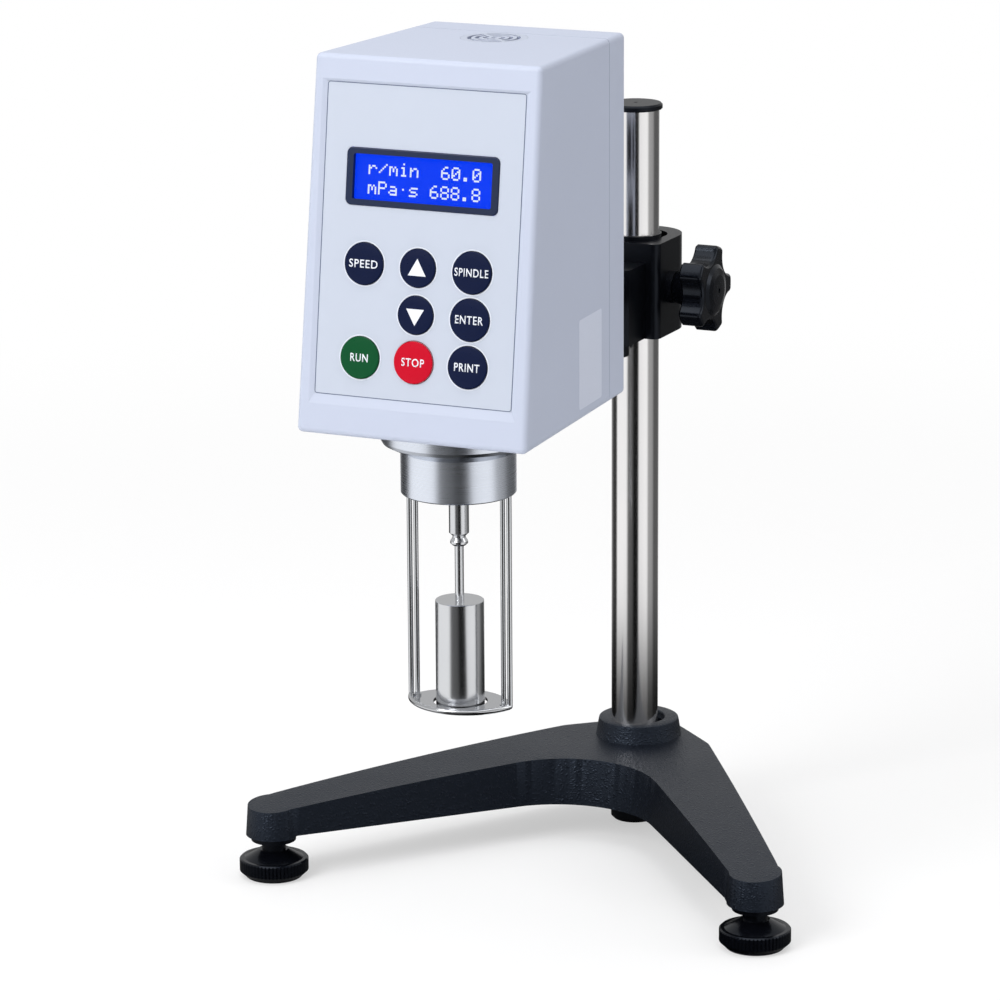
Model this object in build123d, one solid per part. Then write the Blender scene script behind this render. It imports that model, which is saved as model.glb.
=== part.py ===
from build123d import *
from math import acos, atan2, cos, pi, radians, sin, sqrt, tan
import os

# Rotational viscometer on a column stand. Millimetres, +Z up, the head faces -Y.
# Origin: on the table, under the axis of the column.

# ---- clearances ----
RUN = 0.05          # radial running fit of a shaft in its hole
FIT = 0.1           # fixed piece in its pocket
FREE = 0.35         # moving piece beside its neighbour
SEAT = 0.1          # two faces that meet through a thin air gap

# ---- base casting ----
LEG_LENGTH = 210.5          # column axis to foot axis
LEG_ANGLE = 39.4            # each leg, from the -Y direction
FOOT_BOSS_R = 8.6           # foot boss, at its lower end
BOSS_DRAFT = 2.5
BOSS_STEP = 0.9             # the leg is this much narrower than its boss
HUB_R = 25.5                # top outline behind the column
HUB_Y = 5.5                 # the hub and its ring stand a little behind the column's axis
SHOULDER_R = 15.2
SHOULDER_OUT = (30.0, -8.0)
SHOULDER_IN = (15.0, -11.5)
CROTCH_R = 51.2             # inner curve between the legs
BASE_TOP_Z = 45.5           # at the column axis
TOP_BOW_R = 1950.0          # the top bows down towards the feet
BASE_BOTTOM_Z = 17.0
BASE_SLOPE = 1.93           # underside rises towards the feet, degrees
BASE_DRAFT = 5.0
BASE_EDGE_R = 2.2
WEB_RISE = 0.9              # the leg's underside above the boss's end
COLLAR_R = 21.2             # cast ring round the column
COLLAR_FOOT_R = 22.6
COLLAR_Z = 55.0
SOCKET_FLOOR_Z = 24.0
MOUTH_R = 14.0
MOUTH_DEPTH = 3.0
BOLT_HUB_R = 19.0

# ---- column ----
COLUMN_R = 12.35
COLUMN_WALL = 2.0
COLUMN_TOP_Z = 384.5
COLUMN_END_L = 20.0
CAP_R = 14.0
CAP_T = 3.2
CAP_PLUG_L = 12.0
BOLT_R = 5.0
BOLT_L = 16.0
BOLT_HEAD_AF = 17.0
BOLT_HEAD_H = 6.4
WASHER_R = 12.0
WASHER_T = 2.5
REAR_FOOT_R = 12.6
REAR_FOOT_H = 13.0

# ---- levelling feet ----
WHEEL_R = 17.85
WHEEL_RIM_Z = 10.0
WHEEL_BOTTOM_Z = 1.2
WHEEL_BOTTOM_R = 15.5
WHEEL_CONE_Z = 14.5
KNURLS = 56
KNURL = 0.8
PAD_R = 14.8
PAD_H = 1.6
PAD_PIN_R = 3.0
PAD_PIN_Z = 6.0
STUD_R = 6.15
STUD_TOP_Z = 31.5
INSERT_FLANGE_R = 11.6
INSERT_FLANGE_T = 3.0
INSERT_R = 9.0
INSERT_L = 11.0
BOSS_FLOOR_ROOM = 1.5       # blind bore above the stud's highest place
BOSS_BORE_R = INSERT_R + FIT
LEVEL_UP = 3.0              # travel of a foot
LEVEL_DOWN = 6.0

# ---- clamp on the column ----
CLAMP_HALF_W = 20.0
CLAMP_FRONT_Y = -17.5
CLAMP_ROUND_Y = 11.0        # centre of the round back
CLAMP_BOTTOM_Z = 267.3
CLAMP_H = 50.0
CLAMP_EDGE_R = 4.0
LINER_WALL = 1.2
LINER_PROUD = 2.2
SLOT_BACK = 8.0             # the bore is drawn out to the rear by this
CLAMP_BOSS_R = 8.6
BOSS_X = 23.6
SCREW_R = 4.0
PAD_PRESS_R = 5.0
PAD_TRAVEL = 2.5
PAD_PRESS_L = 3.0
WINDOW_HALF_Y = 10.8
WINDOW_HALF_Z = 6.5
KNOB_R = 23.0
KNOB_LOBES = 5
KNOB_VALLEY_R = 11.0
KNOB_VALLEY_OFFSET = 27.0
KNOB_BACK_X = 32.5
KNOB_T = 12.5
KNOB_DOME = 2.2
KNOB_NECK_R = 8.3
KNOB_NECK_END_R = 10.5
KNOB_EDGE_R = 2.0
SOCKET_HALF_W = 12.5
SOCKET_FRONT_Y = -38.0
SOCKET_TOP_Z = 307.0
ARM_R = 8.0
ARM_FLANGE_HALF_W = 25.0
ARM_FLANGE_H = 46.0
ARM_FLANGE_T = 8.0
LOCK_SCREW_Y = -25.0
LOCK_SCREW_R = 4.0
LOCK_HEAD_R = 6.8
LOCK_HEAD_H = 8.4

# ---- head housing ----
HEAD_FRONT_HALF = 60.0      # at the foot of the front face
HEAD_BACK_HALF = 51.3
HEAD_FRONT_Y = -272.0
HEAD_BACK_Y = -134.0
HEAD_BOTTOM_Z = 267.0
HEAD_TOP_Z = 445.5
HEAD_LEAN = 7.58            # front face leans back, degrees
HEAD_WALL = 3.0
HEAD_EDGE_R = 2.6
SEAM_Y = -156.8
SEAM_GAP = 0.4
LIP_L = 5.0
LIP_T = 1.6
VENT_Y = -174.0
VENT_R = 16.3
VENT_T = 2.0
VENT_LEDGE = 1.6

# ---- front panel ----
PANEL_HALF_W = 51.4
PANEL_LOW = 19.5            # along the front face, from its foot
PANEL_HIGH = 167.4
RECESS = 0.8
RECESS_SIDE = 2.4           # bevel round the recess
RECESS_FOOT = 4.7
RECESS_HEAD = 1.2
PANEL_T = 1.2
PANEL_LEDGE = 5.4
BEZEL_W = 79.0
BEZEL_H = 27.2
BEZEL_UP = 123.6            # centre height on the front face
BEZEL_CORNER_R = 3.0
BEZEL_PROUD = 0.6
BEZEL_DEEP = 4.5
GLASS_W = 71.8
GLASS_H = 21.4
GLASS_RIM = 1.0
GLASS_T = 1.2
GLASS_DEEP = 2.2            # below the bezel's face
KEY_R = 10.0
ARROW_R = 9.1
KEY_PITCH_X = 28.0
KEY_ROWS = (82.8, 60.7, 38.4)
KEY_PROUD = 1.4
KEY_DOME = 0.25
KEY_FLANGE = 0.9
KEY_FLANGE_T = 1.0
KEY_TRAVEL = 0.8
KEY_STEM_R = 2.5
KEY_STEM_L = 1.0
SWITCH_SIDE = 6.0
SWITCH_H = 4.0
BOARD_T = 1.6
BOARD_HALF_W = 52.5
BOARD_POST_R = 2.4
BOARD_POST_X = 49.6
KEY_BOARD_LOW = 27.0
KEY_BOARD_HIGH = 97.0
LCD_BOARD_LOW = 105.0
LCD_BOARD_HIGH = 143.0
BOARD_SCREW_R = 1.2
BOARD_SCREW_HEAD_R = 2.3
BOARD_SCREW_HEAD_H = 1.4

# ---- spindle, guard and drive ----
SPINDLE_Y = -218.0
NECK_R = 28.0               # aluminium neck under the head
NECK_BOTTOM_Z = 231.4
NECK_TOP_Z = 252.5
FLARE_R = 37.6
FLARE_Z = 257.0
NECK_BORE_R = 9.0
NECK_CUP_R = 20.0
NECK_CUP_DEPTH = 8.0
SLEEVE_R = 4.9
SLEEVE_TOP_Z = 240.0
SLEEVE_BOTTOM_Z = 209.8
SPINDLE_NECK_R = 3.2
NUT_R = 4.35
NUT_WIDE_Z = 206.8
NUT_BOTTOM_Z = 204.6
STEM_R = 2.2
BOB_R = 11.9
BOB_TOP_Z = 177.2
BOB_BOTTOM_Z = 123.0
THREAD_R = 2.5
THREAD_L = 9.0
GUARD_WIRE_R = 1.3
GUARD_WIRE_X = 26.6
GUARD_POST_R = 1.2
GUARD_POST_X = 23.2
GUARD_POST_FOOT_R = 1.9
GUARD_POST_FOOT_H = 1.0
GUARD_PLATE_Z = 126.0
GUARD_PLATE_T = 1.6
GUARD_PLATE_HALF_D = 19.5
GUARD_HOLE_R = 13.3
GUARD_SOCKET = 3.0
GUARD_BEND_R = 3.0
FRAME_HALF_W = 40.0
FRAME_T = 5.0
FRAME_FRONT_Y = -250.0
FRAME_BACK_H = 62.0
FRAME_BORE_R = 12.0
BEARING_R = 11.0
BEARING_BORE_R = 4.0
BEARING_H = 7.0
POST_R = 3.5
POST_PCD_R = 28.0
POST_TOP_Z = 338.0
MOTOR_PLATE_T = 5.0
MOTOR_HALF = 21.1
MOTOR_H = 34.0
MOTOR_BOSS_R = 11.0
MOTOR_BOSS_H = 2.0
MOTOR_SHAFT_R = 2.5
SHAFT_R = 3.95
SHAFT_TOP_Z = 303.0
DISC_R = 20.0
DISC_T = 1.5
DISC_SLOTS = 12
LOWER_DISC_Z = 296.0
UPPER_DISC_Z = 318.0
HUB_DISC_R = 6.0
HUB_DISC_H = 8.0
SPRING_Z = 306.5
SPRING_H = 2.0
SPRING_T = 0.8
SPRING_INNER_R = 5.0
SPRING_TURNS = 4
SPRING_PIN_R = 0.8
SPRING_PITCH = 2.2

# ---- electrics at the rear ----
MAIN_BOARD_HALF_W = 40.5
MAIN_BOARD_LOW_Z = 364.0
MAIN_BOARD_HIGH_Z = 432.0
MAIN_BOARD_Y = -158.0
STANDOFF_R = 2.6
INLET_W = 48.0
INLET_H = 28.0
INLET_X = -16.0
INLET_Z = 345.0
INLET_T = 2.4
INLET_DEEP = 18.0
INLET_OPEN_W = 24.6
INLET_OPEN_H = 17.0
ROCKER_X = 30.0
ROCKER_W = 15.0
ROCKER_H = 21.0
ROCKER_TILT = 9.0
ROCKER_PIN_R = 1.2
PORT_X = 14.0
PORT_Z = 392.0
PORT_W = 31.0
PORT_H = 12.5
PORT_SHELL_W = 18.0
PORT_SHELL_H = 9.0
PORT_DEEP = 10.0
PORT_PROUD = 5.5
COVER_POST_R = 3.2
COVER_SCREW_R = 1.6
COVER_SCREW_HEAD_R = 3.0
COVER_SCREW_HEAD_H = 1.8

# ---- sizes worked out from the above ----
foot_x = LEG_LENGTH * sin(radians(LEG_ANGLE))
foot_y = -LEG_LENGTH * cos(radians(LEG_ANGLE))
leg_bottom_z = BASE_BOTTOM_Z - tan(radians(BASE_SLOPE)) * foot_y
clamp_top_z = CLAMP_BOTTOM_Z + CLAMP_H
clamp_mid_z = CLAMP_BOTTOM_Z + CLAMP_H / 2
liner_r = COLUMN_R + RUN + LINER_WALL
clamp_bore_r = liner_r + RUN
lean = tan(radians(HEAD_LEAN))
head_taper = (HEAD_FRONT_HALF - HEAD_BACK_HALF) / (HEAD_BACK_Y - HEAD_FRONT_Y)
floor_z = HEAD_BOTTOM_Z + HEAD_WALL
rear_wall_y = HEAD_BACK_Y - HEAD_WALL
face = Plane(
    origin=(0, HEAD_FRONT_Y, HEAD_BOTTOM_Z),
    x_dir=(1, 0, 0),
    z_dir=(0, -cos(radians(HEAD_LEAN)), sin(radians(HEAD_LEAN))),
)
board_face = -(RECESS + PANEL_T + SEAT + KEY_FLANGE_T + KEY_STEM_L + KEY_TRAVEL + SEAT + SWITCH_H)
bezel_face = -RECESS + BEZEL_PROUD
BIG = 600.0


def cyl(r, z0, z1, x=0.0, y=0.0):
    """Upright cylinder between two heights."""
    return Pos(x, y, z0) * Cylinder(r, z1 - z0, align=(Align.CENTER, Align.CENTER, Align.MIN))


def cyl_x(r, x0, x1, y, z):
    """Cylinder along X."""
    return Pos(x0, y, z) * Rot(0, 90, 0) * Cylinder(r, x1 - x0, align=(Align.CENTER, Align.CENTER, Align.MIN))


def cyl_y(r, y0, y1, x, z):
    """Cylinder along Y."""
    return Pos(x, y0, z) * Rot(-90, 0, 0) * Cylinder(r, y1 - y0, align=(Align.CENTER, Align.CENTER, Align.MIN))


def block(x0, x1, y0, y1, z0, z1):
    """Box between two corners."""
    return Pos(x0, y0, z0) * Box(x1 - x0, y1 - y0, z1 - z0, align=(Align.MIN, Align.MIN, Align.MIN))


def turned(points, x=0.0, y=0.0):
    """Solid of revolution about an upright axis from (radius, height) points."""
    outline = make_face(Polyline(*[(r, 0, z) for r, z in points], close=True))
    return Pos(x, y, 0) * revolve(outline, Axis.Z, 360)


def on_face(shape, x=0.0, up=0.0, out=0.0):
    """Place a shape drawn about the origin on the leaning front face."""
    return face.location * Pos(x, up, out) * shape


def face_plate(width, height, thickness, corner=0.0):
    """Flat plate centred on the local origin, its front at zero."""
    outline = RectangleRounded(width, height, corner) if corner else Rectangle(width, height)
    return extrude(outline, -thickness)


def half_width(y, inset=0.0):
    """Half width of the head at a place along its depth."""
    edge = HEAD_BACK_HALF + head_taper * (HEAD_BACK_Y - y)
    return edge - inset / cos(atan2(head_taper, 1))


def front_y(z, inset=0.0):
    """Front face of the head at a height."""
    return HEAD_FRONT_Y + lean * (z - HEAD_BOTTOM_Z) + inset / cos(radians(HEAD_LEAN))


def head_block(inset):
    """The head's wedge shape, every wall moved in by the inset."""
    y_far = HEAD_BACK_Y - inset
    y_near = front_y(HEAD_BOTTOM_Z + inset, inset)
    plan = Polyline(
        (half_width(y_near, inset), y_near, 0),
        (half_width(y_far, inset), y_far, 0),
        (-half_width(y_far, inset), y_far, 0),
        (-half_width(y_near, inset), y_near, 0),
        close=True,
    )
    prism = Pos(0, 0, HEAD_BOTTOM_Z + inset) * extrude(
        make_face(plan), HEAD_TOP_Z - HEAD_BOTTOM_Z - 2 * inset, dir=(0, 0, 1)
    )
    z_top = HEAD_TOP_Z - inset
    z_low = HEAD_BOTTOM_Z + inset
    side = Polyline(
        (0, y_near, z_low), (0, y_far, z_low), (0, y_far, z_top), (0, front_y(z_top, inset), z_top), close=True
    )
    across = extrude(make_face(side), BIG / 2, dir=(1, 0, 0), both=True)
    return prism & across


def behind(y):
    """Everything to the rear of a plane across the head."""
    return block(-BIG, BIG, y, BIG, 0, BIG)


def rounded_head():
    """Outer form of the whole head with its eased edges."""
    return fillet(head_block(0).edges(), HEAD_EDGE_R)


# ---------------------------------------------------------------- stand
def tangent_angle(a, r_a, b, r_b, side):
    """Direction of the normal shared by two circles' outer tangent, on one side of the way from a to b."""
    dx = b[0] - a[0]
    dy = b[1] - a[1]
    return atan2(dy, dx) + side * acos((r_a - r_b) / sqrt(dx ** 2 + dy ** 2))


def rim_arc(centre, r, start, end):
    """Arc of a circle between two directions."""
    points = [(centre[0] + r * cos(t), centre[1] + r * sin(t)) for t in (start, (start + end) / 2, end)]
    return ThreePointArc(*points)


def base_outline():
    """Top outline: each half runs from the hub by the shoulder round the leg's end to the crotch."""
    hub = (0.0, HUB_Y)
    foot = (foot_x, foot_y)
    web_r = FOOT_BOSS_R - BOSS_STEP
    behind_leg = tangent_angle(hub, HUB_R, SHOULDER_OUT, SHOULDER_R, 1)
    outer_side = tangent_angle(SHOULDER_OUT, SHOULDER_R, foot, web_r, 1)
    inner_side = tangent_angle(SHOULDER_IN, SHOULDER_R, foot, web_r, -1)
    reach = SHOULDER_IN[0] * cos(inner_side) + SHOULDER_IN[1] * sin(inner_side) + SHOULDER_R
    crotch = (0.0, (reach + CROTCH_R) / sin(inner_side))
    arcs = [
        rim_arc(hub, HUB_R, pi / 2, behind_leg),
        rim_arc(SHOULDER_OUT, SHOULDER_R, behind_leg, outer_side),
        rim_arc(foot, web_r, outer_side, inner_side),
        rim_arc(crotch, CROTCH_R, inner_side + pi, pi / 2),
    ]
    half = []
    for i, arc in enumerate(arcs):
        half.append(arc)
        if i < 3:
            half.append(Line(arc @ 1, arcs[i + 1] @ 0))
    return make_face(Wire(half + [edge.mirror(Plane.YZ) for edge in half]))


def base_casting():
    """Solid casting: one web with two legs, a drafted boss over each foot and a ring round the column."""
    high = BASE_TOP_Z + 2
    body = extrude(Pos(0, 0, high) * base_outline(), high, dir=(0, 0, -1), taper=-BASE_DRAFT)
    underside = Pos(0, 0, BASE_BOTTOM_Z) * Rot(-BASE_SLOPE, 0, 0) * block(-BIG, BIG, -BIG, BIG, -BIG, 0)
    body -= underside
    for side in (-1, 1):
        x = side * foot_x
        boss_l = high - leg_bottom_z
        body -= cyl(FOOT_BOSS_R + FOOT_BOSS_R, 0, leg_bottom_z + WEB_RISE, x, foot_y)
        body += Pos(x, foot_y, leg_bottom_z) * Cone(FOOT_BOSS_R, FOOT_BOSS_R - boss_l * tan(radians(BOSS_DRAFT)),
                                                    boss_l, align=(Align.CENTER, Align.CENTER, Align.MIN))
    body &= cyl_x(TOP_BOW_R, -BIG, BIG, 0, BASE_TOP_Z - TOP_BOW_R)
    top = body.faces().sort_by(Axis.Z)[-1]
    body = fillet(top.edges(), BASE_EDGE_R)
    body += turned([(0, BASE_TOP_Z - 4), (COLLAR_FOOT_R, BASE_TOP_Z - 4), (COLLAR_FOOT_R, BASE_TOP_Z + 0.6),
                    (COLLAR_R, COLLAR_Z - 1.0), (COLLAR_R - 1.0, COLLAR_Z), (0, COLLAR_Z)], 0, HUB_Y)
    body -= cyl(COLUMN_R + FIT, SOCKET_FLOOR_Z, BIG)
    body -= cyl(MOUTH_R, COLLAR_Z - MOUTH_DEPTH, BIG)
    body -= cyl(BOLT_R + FIT, 0, BIG)
    body -= cyl(BOLT_HUB_R + 4, 0, BASE_BOTTOM_Z)
    for side in (-1, 1):
        body -= cyl(BOSS_BORE_R, 0, STUD_TOP_Z + LEVEL_UP + BOSS_FLOOR_ROOM, side * foot_x, foot_y)
    return body


def column():
    tube = cyl(COLUMN_R, SOCKET_FLOOR_Z, COLUMN_TOP_Z)
    tube -= cyl(COLUMN_R - COLUMN_WALL, SOCKET_FLOOR_Z + COLUMN_END_L, COLUMN_TOP_Z)
    tube -= cyl(BOLT_R + FIT, SOCKET_FLOOR_Z, SOCKET_FLOOR_Z + COLUMN_END_L)
    return tube


def column_cap():
    top = COLUMN_TOP_Z + CAP_T
    plug_r = COLUMN_R - COLUMN_WALL - FIT
    return turned([(0, COLUMN_TOP_Z - CAP_PLUG_L), (plug_r, COLUMN_TOP_Z - CAP_PLUG_L), (plug_r, COLUMN_TOP_Z),
                   (CAP_R - 0.5, COLUMN_TOP_Z), (CAP_R, COLUMN_TOP_Z + 0.5), (CAP_R, top - 0.9),
                   (CAP_R - 0.9, top), (1.2, top), (0, top - 0.5)])


def column_bolt():
    head_top = BASE_BOTTOM_Z - WASHER_T
    head = Pos(0, 0, head_top - BOLT_HEAD_H) * extrude(
        RegularPolygon(BOLT_HEAD_AF / 2, 6, major_radius=False), BOLT_HEAD_H)
    return head + cyl(BOLT_R, head_top, SOCKET_FLOOR_Z + BOLT_L)


def column_washer():
    return cyl(WASHER_R, BASE_BOTTOM_Z - WASHER_T, BASE_BOTTOM_Z) - cyl(BOLT_R + FIT, 0, BASE_BOTTOM_Z)


def rear_foot():
    head_top = BASE_BOTTOM_Z - WASHER_T
    shape = turned([(0, 0), (REAR_FOOT_R - 1.5, 0), (REAR_FOOT_R, 1.5), (REAR_FOOT_R, REAR_FOOT_H - 0.8),
                    (REAR_FOOT_R - 0.8, REAR_FOOT_H), (0, REAR_FOOT_H)])
    pocket = Pos(0, 0, head_top - BOLT_HEAD_H) * extrude(
        RegularPolygon(BOLT_HEAD_AF / 2 + FIT, 6, major_radius=False), BIG)
    return shape - pocket


def foot_inserts():
    shapes = []
    for side in (-1, 1):
        x = side * foot_x
        body = cyl(INSERT_FLANGE_R, leg_bottom_z - INSERT_FLANGE_T, leg_bottom_z, x, foot_y)
        body += cyl(INSERT_R, leg_bottom_z, leg_bottom_z + INSERT_L, x, foot_y)
        body -= cyl(STUD_R + RUN, 0, BIG, x, foot_y)
        shapes.append(body)
    return Compound(children=shapes)


def foot_wheel(x):
    """Knurled wheel in one piece with its stud."""
    body = turned([(0, WHEEL_BOTTOM_Z), (WHEEL_BOTTOM_R, WHEEL_BOTTOM_Z), (WHEEL_R, WHEEL_BOTTOM_Z + 2.2),
                   (WHEEL_R, WHEEL_RIM_Z - 0.8), (WHEEL_R - 0.8, WHEEL_RIM_Z), (WHEEL_R - 2.6, WHEEL_RIM_Z),
                   (STUD_R + 1.2, WHEEL_CONE_Z), (STUD_R, WHEEL_CONE_Z), (STUD_R, STUD_TOP_Z - 1),
                   (STUD_R - 1, STUD_TOP_Z), (0, STUD_TOP_Z)])
    for i in range(KNURLS):
        turn = Rot(0, 0, 360 / KNURLS * i)
        body -= turn * Pos(WHEEL_R, 0, 0) * Rot(0, 0, 45) * Box(KNURL, KNURL, 2 * (WHEEL_RIM_Z + 1))
    body -= cyl(PAD_R + FREE, 0, PAD_H + SEAT)
    body -= cyl(PAD_PIN_R + RUN, 0, PAD_PIN_Z + SEAT)
    return Pos(x, foot_y, 0) * body


def foot_pad(x):
    body = turned([(0, 0), (PAD_R - 0.4, 0), (PAD_R, 0.4), (PAD_R, PAD_H), (PAD_PIN_R, PAD_H),
                   (PAD_PIN_R, PAD_PIN_Z), (0, PAD_PIN_Z)])
    return Pos(x, foot_y, 0) * body


# ---------------------------------------------------------------- clamp
def column_liner():
    body = cyl(liner_r, CLAMP_BOTTOM_Z, clamp_top_z + LINER_PROUD) - cyl(COLUMN_R + RUN, 0, BIG)
    window = block(0, liner_r + 1, -WINDOW_HALF_Y, WINDOW_HALF_Y, clamp_mid_z - WINDOW_HALF_Z,
                   clamp_mid_z + WINDOW_HALF_Z)
    return body - window


def clamp_block():
    front = block(-CLAMP_HALF_W, CLAMP_HALF_W, CLAMP_FRONT_Y, CLAMP_ROUND_Y, CLAMP_BOTTOM_Z, clamp_top_z)
    front = fillet(front.edges().filter_by(Axis.Z).sort_by(Axis.Y)[:2], CLAMP_EDGE_R)
    body = front + cyl(CLAMP_HALF_W, CLAMP_BOTTOM_Z, clamp_top_z, 0, CLAMP_ROUND_Y)
    body += block(-SOCKET_HALF_W, SOCKET_HALF_W, SOCKET_FRONT_Y, CLAMP_FRONT_Y + 1, CLAMP_BOTTOM_Z, SOCKET_TOP_Z)
    body += cyl_x(CLAMP_BOSS_R, CLAMP_HALF_W - 3, BOSS_X, 0, clamp_mid_z)
    body -= cyl(clamp_bore_r, 0, BIG)
    body -= cyl(clamp_bore_r, 0, BIG, 0, SLOT_BACK)
    body -= block(-clamp_bore_r, clamp_bore_r, 0, SLOT_BACK, 0, BIG)
    body -= cyl_x(SCREW_R + RUN, 0, BIG, 0, clamp_mid_z)
    body -= cyl_x(PAD_PRESS_R + FREE, 0, COLUMN_R + SEAT + PAD_PRESS_L + PAD_TRAVEL + SEAT, 0, clamp_mid_z)
    body -= cyl_y(ARM_R + RUN, SOCKET_FRONT_Y - 1, CLAMP_FRONT_Y - 1, 0, clamp_mid_z)
    body -= cyl(LOCK_SCREW_R + RUN, 0, clamp_mid_z, 0, LOCK_SCREW_Y)
    return body


def pressure_pad():
    end_x = COLUMN_R + SEAT + PAD_PRESS_L
    body = cyl_x(PAD_PRESS_R, COLUMN_R - 2, end_x, 0, clamp_mid_z)
    return body - cyl(COLUMN_R + SEAT, 0, BIG)


def clamp_screw():
    start_x = COLUMN_R + SEAT + PAD_PRESS_L
    return cyl_x(SCREW_R, start_x, KNOB_BACK_X + KNOB_T / 2, 0, clamp_mid_z)


def star_knob():
    """Five-lobed knob: scooped round blank, eased edges, domed face and a tapered neck."""
    blank = Circle(KNOB_R)
    for i in range(KNOB_LOBES):
        angle = 360 / KNOB_LOBES * i + 180
        blank -= Rot(0, 0, angle) * Pos(KNOB_VALLEY_OFFSET, 0) * Circle(KNOB_VALLEY_R)
    blank = fillet(blank.vertices(), 2.6)
    star = extrude(blank, KNOB_T)
    star = fillet(star.faces().sort_by(Axis.Z)[-1].edges(), KNOB_EDGE_R)
    star = chamfer(star.faces().sort_by(Axis.Z)[0].edges(), KNOB_EDGE_R * 0.5)
    dome = turned([(0, KNOB_T - 1), (13.5, KNOB_T - 1), (13.5, KNOB_T), (11.5, KNOB_T + KNOB_DOME * 0.55),
                   (8.0, KNOB_T + KNOB_DOME * 0.9), (4.0, KNOB_T + KNOB_DOME), (0, KNOB_T + KNOB_DOME)])
    neck_l = KNOB_BACK_X - BOSS_X - 0.5
    neck = turned([(0, 2), (KNOB_NECK_END_R, 2), (KNOB_NECK_END_R, 0), (KNOB_NECK_R, -neck_l), (0, -neck_l)])
    knob = star + dome + neck
    knob -= cyl(SCREW_R, -neck_l - 1, KNOB_T / 2)
    knob -= cyl(1.3, KNOB_T + KNOB_DOME - 0.5, KNOB_T + KNOB_DOME + 1)
    seat = Plane(origin=(KNOB_BACK_X, 0, clamp_mid_z), x_dir=(0, 1, 0), z_dir=(1, 0, 0))
    return seat.location * knob


def support_arm():
    plate = block(-ARM_FLANGE_HALF_W, ARM_FLANGE_HALF_W, HEAD_BACK_Y, HEAD_BACK_Y + ARM_FLANGE_T,
                  clamp_mid_z - ARM_FLANGE_H / 2, clamp_mid_z + ARM_FLANGE_H / 2)
    plate = fillet(plate.edges().filter_by(Axis.Y), 6)
    rod = cyl_y(ARM_R, HEAD_BACK_Y, CLAMP_FRONT_Y - 1 - SEAT, 0, clamp_mid_z)
    cone = Pos(0, HEAD_BACK_Y + ARM_FLANGE_T, clamp_mid_z) * Rot(-90, 0, 0) * Cone(
        ARM_R + 6, ARM_R, 10, align=(Align.CENTER, Align.CENTER, Align.MIN))
    body = plate + rod + cone
    body -= cyl(LOCK_SCREW_R + RUN, 0, clamp_mid_z - ARM_R + 2.5, 0, LOCK_SCREW_Y)
    for x, z in arm_screw_places():
        body -= cyl_y(2.6, HEAD_BACK_Y - 1, HEAD_BACK_Y + ARM_FLANGE_T + 1, x, z)
    return body


def arm_screw_places():
    return [(sx * 17.0, clamp_mid_z + sz * 15.0) for sx in (-1, 1) for sz in (-1, 1)]


def arm_screws():
    shapes = []
    for x, z in arm_screw_places():
        shank = cyl_y(2.5, rear_wall_y - FRAME_T, HEAD_BACK_Y + ARM_FLANGE_T, x, z)
        head = cyl_y(4.2, HEAD_BACK_Y + ARM_FLANGE_T, HEAD_BACK_Y + ARM_FLANGE_T + 4.5, x, z)
        shapes.append(shank + head)
    return Compound(children=shapes)


def arm_lock_screw():
    body = cyl(LOCK_SCREW_R, CLAMP_BOTTOM_Z, clamp_mid_z - ARM_R + 2, 0, LOCK_SCREW_Y)
    head = cyl(LOCK_HEAD_R, CLAMP_BOTTOM_Z - LOCK_HEAD_H, CLAMP_BOTTOM_Z, 0, LOCK_SCREW_Y)
    head = fillet(head.edges().sort_by(Axis.Z)[0], 0.8)
    hexagon = Pos(0, LOCK_SCREW_Y, CLAMP_BOTTOM_Z - LOCK_HEAD_H) * extrude(
        RegularPolygon(3, 6, major_radius=False), 4)
    return head + body - hexagon


# ---------------------------------------------------------------- head housing
def panel_rect(margin, low, high, out):
    """Rectangle on the front face, as a face in space."""
    flat = Rectangle(2 * (PANEL_HALF_W + margin), high - low)
    return on_face(flat, 0, (low + high) / 2, out)


def board_post_places(low, high):
    return [(sx * BOARD_POST_X, up) for sx in (-1, 1) for up in (low + 4, high - 4)]


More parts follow.
